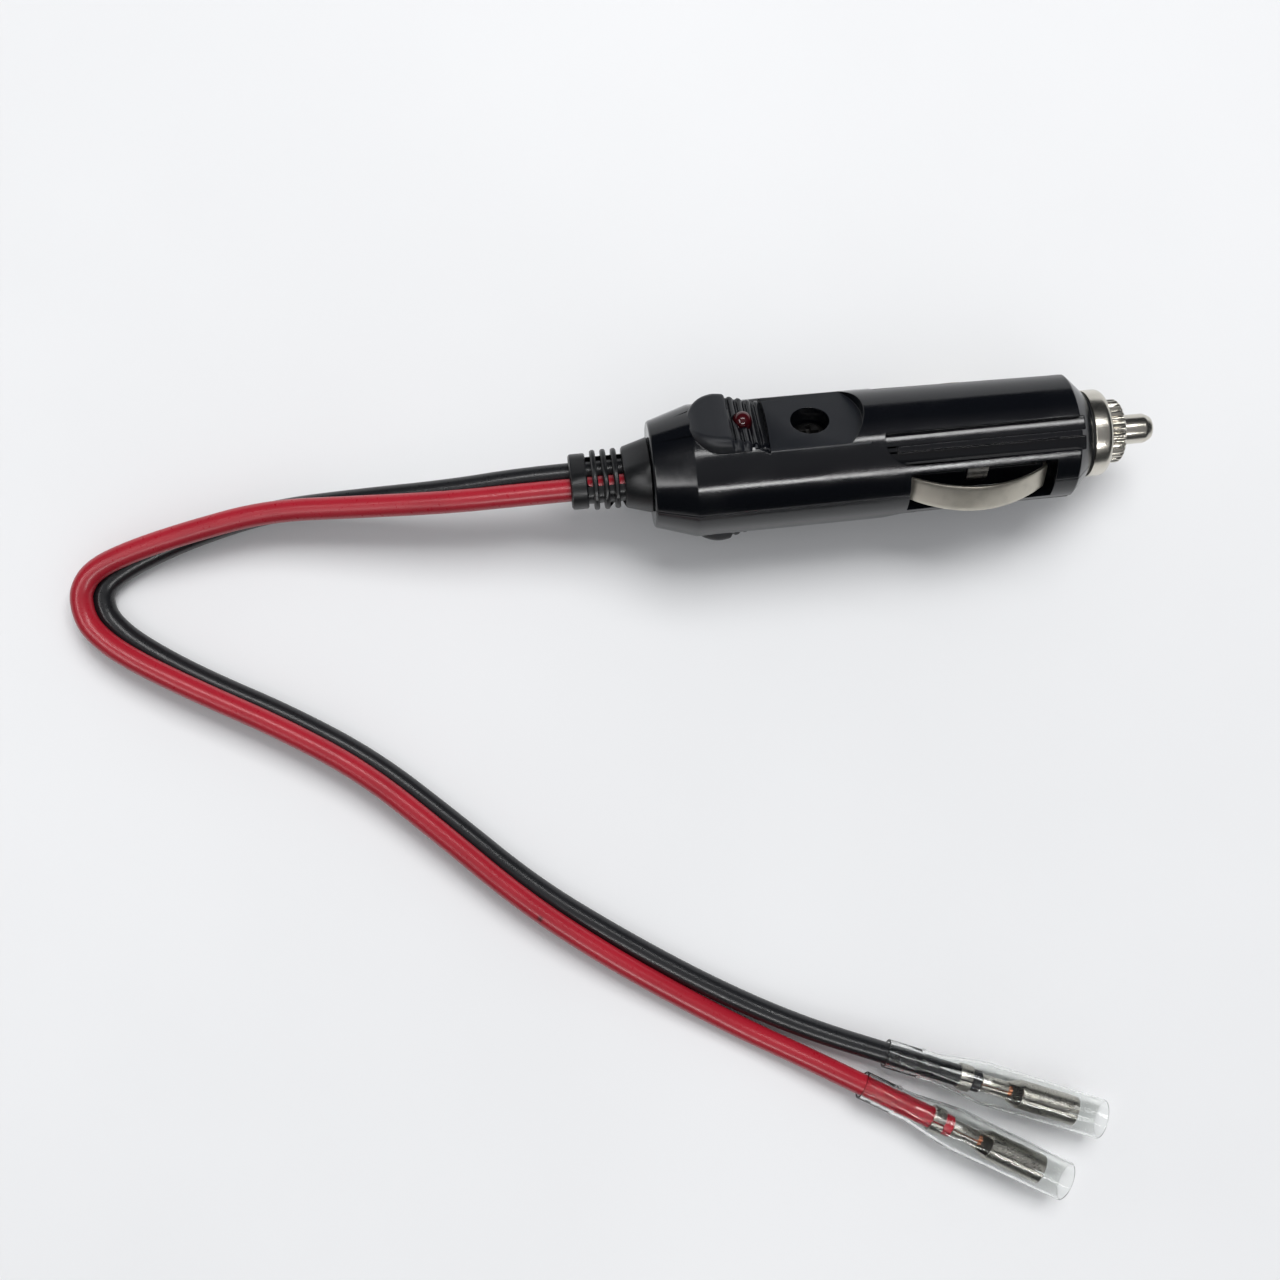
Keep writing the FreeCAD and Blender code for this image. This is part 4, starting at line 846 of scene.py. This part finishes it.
class PLUG_OT_nose(bpy.types.Operator):
    """Threaded nose cap with its knurled collar, the washer and the contact tip"""
    bl_idname = "plug.nose"
    bl_label = "Nose"

    def execute(self, context):
        count = context.scene.plug_sizes.knurl_count
        root = 4.7
        thread = [(CAP_BACK, CAP_BORE, 0.1), (CAP_BACK, root, 0.1)]
        x = CAP_BACK + 0.5
        while x < CAP_START - 1.4:
            thread += [(x, root), (x + 0.25, 5.0), (x + 0.5, 5.0), (x + 0.75, root)]
            x += 1.0
        collar, bore = COLLAR_RADIUS, TIP_RADIUS + 0.15
        outline = thread + [(CAP_START, root), (CAP_START, CAP_RADIUS, 0.15),
                            (RING_END, CAP_RADIUS, RING_ROUND), (RING_END, collar - 0.15, 0.05),
                            (RING_END + 0.15, collar), (RING_END + 0.3, collar),
                            (RING_END + 1.3, collar), (CAP_FRONT - 0.35, collar),
                            (CAP_FRONT, collar - 0.35, 0.08), (CAP_FRONT, bore, 0.1),
                            (FLANGE_END, bore), (FLANGE_END, CAP_BORE)]
        cap = turned("cap", outline, count * 8, close=True)
        for vertex in cap.data.vertices:
            x, y, z = vertex.co
            radius = math.hypot(y, z)
            if x > RING_END + 0.1 and radius > collar - 0.3:
                turn = math.atan2(z, y) * count
                fade = 1.0 if x < CAP_FRONT - 0.3 else 0.35
                depth = 0.34 * fade * (0.5 - 0.5 * math.cos(turn)) ** 1.4
                vertex.co = (x, y * (1 - depth / radius), z * (1 - depth / radius))
        smooth(laid(cap), 30)
        finished(cap, "nose_ring", "nickel", "cap", "nose_cap")

        washer = turned("washer", [(CONE_END, 5.1), (CONE_END, 6.75, 0.08), (CAP_START, 6.75, 0.08),
                                   (CAP_START, 5.1)], close=True)
        smooth(laid(washer), 30)
        finished(washer, "washer", "washer_rubber", "cap_carrier", "cap_washer")

        stem_end = CAP_FRONT + 0.3
        tip = turned("tip", [(FLANGE_END - 1.2, 0), (FLANGE_END - 1.2, FLANGE_RADIUS, 0.15),
                             (FLANGE_END, FLANGE_RADIUS, 0.15), (FLANGE_END, STEM_RADIUS, 0.05),
                             (stem_end, STEM_RADIUS), (stem_end, TIP_RADIUS, 0.04),
                             (TIP_END - 1.7, TIP_RADIUS, 1.0), (TIP_END - 0.52, 1.8, 0.9),
                             (TIP_END, 0.55, 0.4), (TIP_END, 0)])
        smooth(laid(tip), 50)
        finished(tip, "centre_pin", "nickel", "plunger", "contact_tip")
        return {"FINISHED"}


class PLUG_OT_side_contacts(bpy.types.Operator):
    """Sprung strips in the side slots"""
    bl_idname = "plug.side_contacts"
    bl_label = "Side contacts"

    def execute(self, context):
        thick, apex, low, half, narrow = (STRIP_THICK, STRIP_APEX, STRIP_LOW, STRIP_HALF,
                                          STRIP_END_HALF)
        start, tab_end, end = SLOT_START - 1.2, SLOT_START + thick, SLOT_END - 1.5
        path = [(start, low), (start + 0.8, low), (tab_end - 0.3, low + 0.02)]
        for part in range(33):
            t = -1 + 2 * part / 32
            x = (tab_end + end) / 2 + t * (end - tab_end) / 2
            path.append((x, low + (apex - low) * (1 - t * t)))
        path += [(end + 0.02, low - 0.35), (end, low - 0.65), (end - 0.05, low - 0.95)]
        strip = chain([(x, y - thick / 2, -half) for x, y in path])
        bpy.ops.mesh.select_all(action="SELECT")
        for _ in range(6):
            bpy.ops.mesh.extrude_region_move(TRANSFORM_OT_translate={"value": (0, 0, half / 3)})
        bpy.ops.object.mode_set(mode="OBJECT")
        middle = (start + end) / 2
        for vertex in strip.data.vertices:
            x, y, z = vertex.co
            share = min(1.0, abs(x - middle) / (end - middle))
            width = half - (half - narrow) * share ** 2
            crown = 0.10 * (1 - (z / half) ** 2)
            vertex.co = (x, y - 0.10 + crown, z * width / half)
        only(strip)
        bpy.ops.object.mode_set(mode="EDIT")
        bpy.ops.mesh.select_all(action="SELECT")
        bpy.ops.mesh.normals_make_consistent(inside=False)
        bpy.ops.object.mode_set(mode="OBJECT")
        wall = strip.modifiers.new("wall", "SOLIDIFY")
        wall.thickness = thick
        wall.offset = 0
        apply_all(strip)
        bevelled(strip, 0.1, 2, 50)
        smooth(strip, 35)
        other = spun(duplicate(strip), math.pi)
        laid(strip)
        laid(other)
        finished(strip, "strip_right", "spring_steel", "right_contact", "side_contact_right")
        finished(other, "strip_left", "spring_steel", "left_contact", "side_contact_left")
        return {"FINISHED"}


def stadium_ring(x, width, thickness, count=20):
    """Points round a bar's section: flat faces across Z, round sides."""
    radius = thickness / 2
    straight = (width - thickness) / 2
    points = []
    for side in (1, -1):
        for part in range(count + 1):
            angle = math.pi / 2 - math.pi * part / count
            points.append((x, side * (straight + radius * math.cos(angle)),
                           side * radius * math.sin(angle)))
    return points


class PLUG_OT_relief(bpy.types.Operator):
    """Slotted strain relief at the rear"""
    bl_idname = "plug.relief"
    bl_label = "Strain relief"

    def execute(self, context):
        fin, groove, end_length = 0.85, 0.85, 2.75
        start = RELIEF_END
        edge = 0.22
        sections = [(start, 9.2, 6.2), (start + edge, 9.8, 6.8), (start + 2 * edge, 9.9, 6.9),
                    (start + end_length - edge, 9.9, 6.9), (start + end_length, 9.5, 6.5)]
        x = start + end_length
        for _ in range(3):
            sections += [(x, 8.6, 5.6), (x + groove, 8.6, 5.6), (x + groove, 10.2, 7.2),
                         (x + groove + edge, 10.6, 7.6), (x + groove + fin - edge, 10.6, 7.6),
                         (x + groove + fin, 10.2, 7.2)]
            x += groove + fin
        sections += [(x, 8.6, 5.6), (x + groove, 8.6, 5.6), (x + groove, 10.2, 7.4),
                     (x + groove + edge, 10.7, 7.9), (-1.0, 12.2, 9.8), (-0.25, 12.6, 10.2),
                     (-0.05, 12.3, 9.9)]
        body = chain(stadium_ring(*sections[0]) + stadium_ring(*sections[0])[:1])
        bpy.ops.mesh.select_all(action="SELECT")
        bpy.ops.mesh.remove_doubles(threshold=1e-4)
        bpy.ops.mesh.edge_face_add()
        for section, following in zip(sections, sections[1:]):
            bpy.ops.mesh.extrude_region_move(
                TRANSFORM_OT_translate={"value": (following[0] - section[0], 0, 0)})
            bpy.ops.transform.resize(value=(1, following[1] / section[1], following[2] / section[2]),
                                     center_override=(0, 0, 0))
        bpy.ops.mesh.select_all(action="SELECT")
        bpy.ops.mesh.normals_make_consistent(inside=False)
        bpy.ops.object.mode_set(mode="OBJECT")
        boolean(body, rod(-0.5, REAR_WALL + 0.5, 4.6), "UNION")
        boolean(body, rod(REAR_WALL + 0.1, REAR_WALL + 1.9, 6.1), "UNION")
        channels = rod(start - 1, REAR_WALL + 3, LEAD_RADIUS + 0.03, 48)
        second = duplicate(channels)
        for channel, side in ((channels, -1), (second, 1)):
            channel.location = (0, side * (LEAD_RADIUS + 0.02), 0)
            only(channel)
            bpy.ops.object.transform_apply(location=True, rotation=True, scale=True)
            boolean(body, channel)
        for index in range(4):
            x = start + end_length + index * (fin + groove)
            boolean(body, block((x, x + groove), (-3.5, 3.5), (-8, 8)))
        bevelled(body, 0.1, 2, 40)
        smooth(laid(body), 40)
        finished(body, "relief", "relief_rubber", "housing", "strain_relief")
        return {"FINISHED"}


def lead_curve(name, route, finish, node):
    """Lead as one smooth spline through its route, as thick as the real one."""
    curve = bpy.data.curves.new(name, "CURVE")
    curve.dimensions = "3D"
    curve.bevel_depth = LEAD_RADIUS * MM
    curve.bevel_resolution = 10
    curve.resolution_u = 16
    curve.use_fill_caps = True
    spline = curve.splines.new("NURBS")
    spline.points.add(len(route) - 1)
    for point, place in zip(spline.points, route):
        point.co = (*place, 1)
    spline.order_u = 3
    spline.use_endpoint_u = True
    piece = bpy.data.objects.new(name, curve)
    bpy.context.collection.objects.link(piece)
    curve.materials.append(FINISHES[finish].material)
    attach(piece, "housing")
    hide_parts(node)
    return piece


class PLUG_OT_leads(bpy.types.Operator):
    """Red and black leads outside the relief"""
    bl_idname = "plug.leads"
    bl_label = "Leads"

    def execute(self, context):
        for colour, route, length in (("red", RED_ROUTE, 0.260), ("black", BLACK_ROUTE, 0.255)):
            lead = lead_curve(colour + "_cord", route, colour + "_insulation", colour + "_wire")
            with_pieces = [bpy.data.objects[colour + part] for part in ("_tube", "_terminal")]
            with_pieces.append(frame["nodes"][colour + "_strands"])
        return {"FINISHED"}


def end_matrix(colour):
    """Frame at a sleeve's wire end, in millimetres along its own X."""
    route = RED_ROUTE if colour == "red" else BLACK_ROUTE
    start = Vector(route[-2])
    direction = (Vector(route[-1]) - start).normalized()
    turn = Vector((1, 0, 0)).rotation_difference(direction).to_matrix().to_4x4()
    return Matrix.Translation(start) @ turn @ Matrix.Scale(MM, 4)


class PLUG_OT_terminals(bpy.types.Operator):
    """Rolled bullet receptacles, crimped on both leads"""
    bl_idname = "plug.terminals"
    bl_label = "Receptacles"

    def execute(self, context):
        wing_end, crimp_start, crimp_end = WING_END, CRIMP_START, CRIMP_END
        barrel_start, end = ROLLED_START, TERMINAL_END
        wings = turned("wings", [(0, 1.87), (0, 2.25, 0.1), (wing_end, 2.25, 0.1), (wing_end, 1.87)],
                       96, close=True)
        boolean(wings, block((-1, wing_end + 1), (-0.15, 0.15), (0, 4)))
        crimp = turned("crimp", [(crimp_start, 0.96), (crimp_start, 1.45, 0.1),
                                 (crimp_end, 1.45, 0.1), (crimp_end, 0.96)], 72, close=True)
        boolean(crimp, block((0, 30), (-0.12, 0.12), (0, 4)))
        web = block((wing_end - 0.5, crimp_start + 0.3), (-0.9, 0.9), (-2.25, -1.87))
        riser = block((crimp_start, crimp_start + 0.4), (-0.9, 0.9), (-2.25, -1.1))
        neck = turned("neck", [(crimp_end - 0.4, 1.0), (crimp_end - 0.4, 1.45),
                               (barrel_start, 2.45), (barrel_start + 0.4, 2.45),
                               (barrel_start + 0.4, 2.0)], 96, close=True)
        boolean(neck, block((0, barrel_start + 0.1), (-1.5, 1.5), (0.4, 9)))
        barrel = turned("barrel", [(barrel_start + 0.2, 2.0), (barrel_start + 0.2, 2.45, 0.08),
                                   (end, 2.45, 0.15), (end, 2.0, 0.15)], 96, close=True)
        boolean(barrel, block((barrel_start + 0.5, end + 1), (-0.14, 0.14), (0, 4)))
        terminal = wings
        for part in (web, riser, crimp, neck, barrel):
            boolean(terminal, part, "UNION")
        bevelled(terminal, 0.06, 2, 40)
        smooth(terminal, 35)
        for colour in ("red", "black"):
            piece = duplicate(terminal)
            laid(piece, end_matrix(colour) @ Matrix.Translation((TERMINAL_START, 0, 0)))
            finished(piece, colour + "_terminal", "tinned_brass", "housing", colour + "_receptacle")
        bpy.data.objects.remove(terminal, do_unlink=True)
        return {"FINISHED"}


class PLUG_OT_sleeves(bpy.types.Operator):
    """Clear sleeves over the receptacles"""
    bl_idname = "plug.sleeves"
    bl_label = "Sleeves"

    def execute(self, context):
        wall = context.scene.plug_sizes.sleeve_wall
        neck, flare, mouth, length = SLEEVE_NECK, SLEEVE_FLARE, SLEEVE_MOUTH, SLEEVE_LENGTH
        outer = [(0, neck, 0.12), (5.7, neck), (6.3, neck + 0.18, 0.3), (6.9, neck),
                 (9.2, neck + 0.04, 1.5), (18.0, flare, 5.0), (length, mouth, 0.15)]
        inner = [(length, mouth - wall, 0.15), (18.2, flare - wall, 5.0),
                 (9.4, neck - wall + 0.04, 1.5), (0, neck - wall, 0.12)]
        sleeve = turned("sleeve", outer + inner, 96, close=True)
        smooth(sleeve, 40)
        for colour in ("red", "black"):
            piece = duplicate(sleeve)
            laid(piece, end_matrix(colour))
            finished(piece, colour + "_tube", "clear_sleeve", "housing", colour + "_sleeve")
        bpy.data.objects.remove(sleeve, do_unlink=True)
        return {"FINISHED"}


class PLUG_OT_inner_parts(bpy.types.Operator):
    """Finishes on the pieces that keep their CAD shape"""
    bl_idname = "plug.inner_parts"
    bl_label = "Inner parts"

    def execute(self, context):
        for node, finish in (
                ("led_leads", "tinned_wire"), ("led_resistor", "resistor_body"),
                ("contact_spring", "spring_steel"), ("spring_cup", "brass"),
                ("ground_strap", "tinned_brass"), ("red_lead", "red_insulation"),
                ("black_lead", "black_insulation"), ("fuse_glass", "fuse_glass"),
                ("fuse_cap_front", "nickel"), ("fuse_cap_rear", "nickel"),
                ("fuse_wire", "tinned_wire"), ("red_strands", "copper"), ("black_strands", "copper")):
            smooth(dress(node, finish), 35)
        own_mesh(frame["nodes"]["contact_spring"])
        return {"FINISHED"}


def area_light(name, place, aim, size, power, glossy=True, diffuse=True):
    data = bpy.data.lights.new(name, "AREA")
    data.shape = "RECTANGLE"
    data.size, data.size_y = size
    data.energy = power
    lamp = bpy.data.objects.new(name, data)
    bpy.context.collection.objects.link(lamp)
    lamp.location = place
    lamp.rotation_euler = (Vector(aim) - Vector(place)).to_track_quat("-Z", "Y").to_euler()
    lamp.visible_glossy = glossy
    lamp.visible_diffuse = diffuse
    return lamp


def room_light(world):
    """Even light on matt surfaces; shiny ones mirror a dark room that is paler overhead."""
    world.use_nodes = True
    tree = world.node_tree
    background = tree.nodes["Background"]
    path = tree.nodes.new("ShaderNodeLightPath")
    direction = tree.nodes.new("ShaderNodeTexCoord")
    split = tree.nodes.new("ShaderNodeSeparateXYZ")
    ramp = tree.nodes.new("ShaderNodeValToRGB")
    choice = tree.nodes.new("ShaderNodeMix")
    choice.data_type = "RGBA"
    stops = ramp.color_ramp.elements
    stops[0].position, stops[1].position = MIRROR_DARK_UP_TO, 1.0
    stops[0].color = (*MIRROR_DARK, 1)
    stops[1].color = (*MIRROR_PALE, 1)
    tree.links.new(direction.outputs["Generated"], split.inputs["Vector"])
    tree.links.new(split.outputs["Z"], ramp.inputs["Fac"])
    tree.links.new(path.outputs["Is Glossy Ray"], choice.inputs["Factor"])
    choice.inputs[6].default_value = (*ROOM_COLOUR, 1)
    tree.links.new(ramp.outputs["Color"], choice.inputs[7])
    tree.links.new(choice.outputs[2], background.inputs["Color"])


class PLUG_OT_stage(bpy.types.Operator):
    """Pale table, soft light and the camera of the photograph"""
    bl_idname = "plug.stage"
    bl_label = "Stage"

    def execute(self, context):
        scene = context.scene
        floor_finish = Finish("Table", tuple(scene.plug_colours.floor), 0.5)
        mottle = floor_finish.noise(0.01, 4.0)
        floor_finish.feed("Base Color", floor_finish.blend(
            mottle.step(0.3, 0.7), tuple(scene.plug_colours.floor),
            tuple(value * 0.97 for value in scene.plug_colours.floor)))
        object_mode()
        bpy.ops.object.select_all(action="DESELECT")
        bpy.ops.mesh.primitive_plane_add(size=6, location=(0, 0, -0.00002))
        floor = context.object
        floor.name = "table"
        floor.data.materials.append(floor_finish.material)

        world = bpy.data.worlds.new("room")
        scene.world = world
        room_light(world)
        area_light("window", (0.33, 0.90, 1.5), (0, -0.03, 0), (1.15, 0.8), 27.0, glossy=False)
        area_light("low strip", (0.02, -0.80, 1.0), (0, 0, 0), (0.95, 0.045), 5.0, diffuse=False)
        area_light("high strip", (0.02, 0.42, 1.0), (0, 0, 0), (0.95, 0.09), 4.0, diffuse=False)
        area_light("side strip", (-0.74, -0.16, 0.9), (0, 0, 0), (0.85, 0.22), 3.6, diffuse=False)

        data = bpy.data.cameras.new("photo camera")
        camera = bpy.data.objects.new("photo camera", data)
        context.collection.objects.link(camera)
        camera.location = CAMERA_PLACE
        camera.rotation_euler = tuple(math.radians(value) for value in CAMERA_TURN)
        data.lens = CAMERA_LENS
        data.sensor_width = 36
        data.clip_start = 0.01
        scene.camera = camera
        scene.view_settings.view_transform = "Standard"
        return {"FINISHED"}


class PLUG_PT_panel(bpy.types.Panel):
    bl_label = "Lighter plug"
    bl_idname = "PLUG_PT_panel"
    bl_space_type = "VIEW_3D"
    bl_region_type = "UI"
    bl_category = "Plug"

    def draw(self, context):
        layout = self.layout
        for group in (context.scene.plug_sizes, context.scene.plug_colours):
            for key in group.__annotations__:
                layout.prop(group, key)
        for operator in OPERATORS:
            layout.operator(operator.bl_idname)


OPERATORS = (PLUG_OT_stage, PLUG_OT_terminals, PLUG_OT_sleeves, PLUG_OT_leads, PLUG_OT_relief,
             PLUG_OT_shells, PLUG_OT_lamp_and_screw, PLUG_OT_nose, PLUG_OT_side_contacts,
             PLUG_OT_inner_parts)
CLASSES = (PlugSizes, PlugColours, PLUG_PT_panel) + OPERATORS


def register():
    for item in CLASSES:
        bpy.utils.register_class(item)
    bpy.types.Scene.plug_sizes = bpy.props.PointerProperty(type=PlugSizes)
    bpy.types.Scene.plug_colours = bpy.props.PointerProperty(type=PlugColours)


def unregister():
    del bpy.types.Scene.plug_colours
    del bpy.types.Scene.plug_sizes
    for item in reversed(CLASSES):
        bpy.utils.unregister_class(item)


def main():
    register()
    FINISHES.update(build_finishes())
    bpy.ops.plug.stage()
    bpy.ops.plug.terminals()
    bpy.ops.plug.sleeves()
    bpy.ops.plug.leads()
    bpy.ops.plug.relief()
    bpy.ops.plug.shells()
    bpy.ops.plug.lamp_and_screw()
    bpy.ops.plug.nose()
    bpy.ops.plug.side_contacts()
    bpy.ops.plug.inner_parts()


if __name__ == "__main__":
    main()
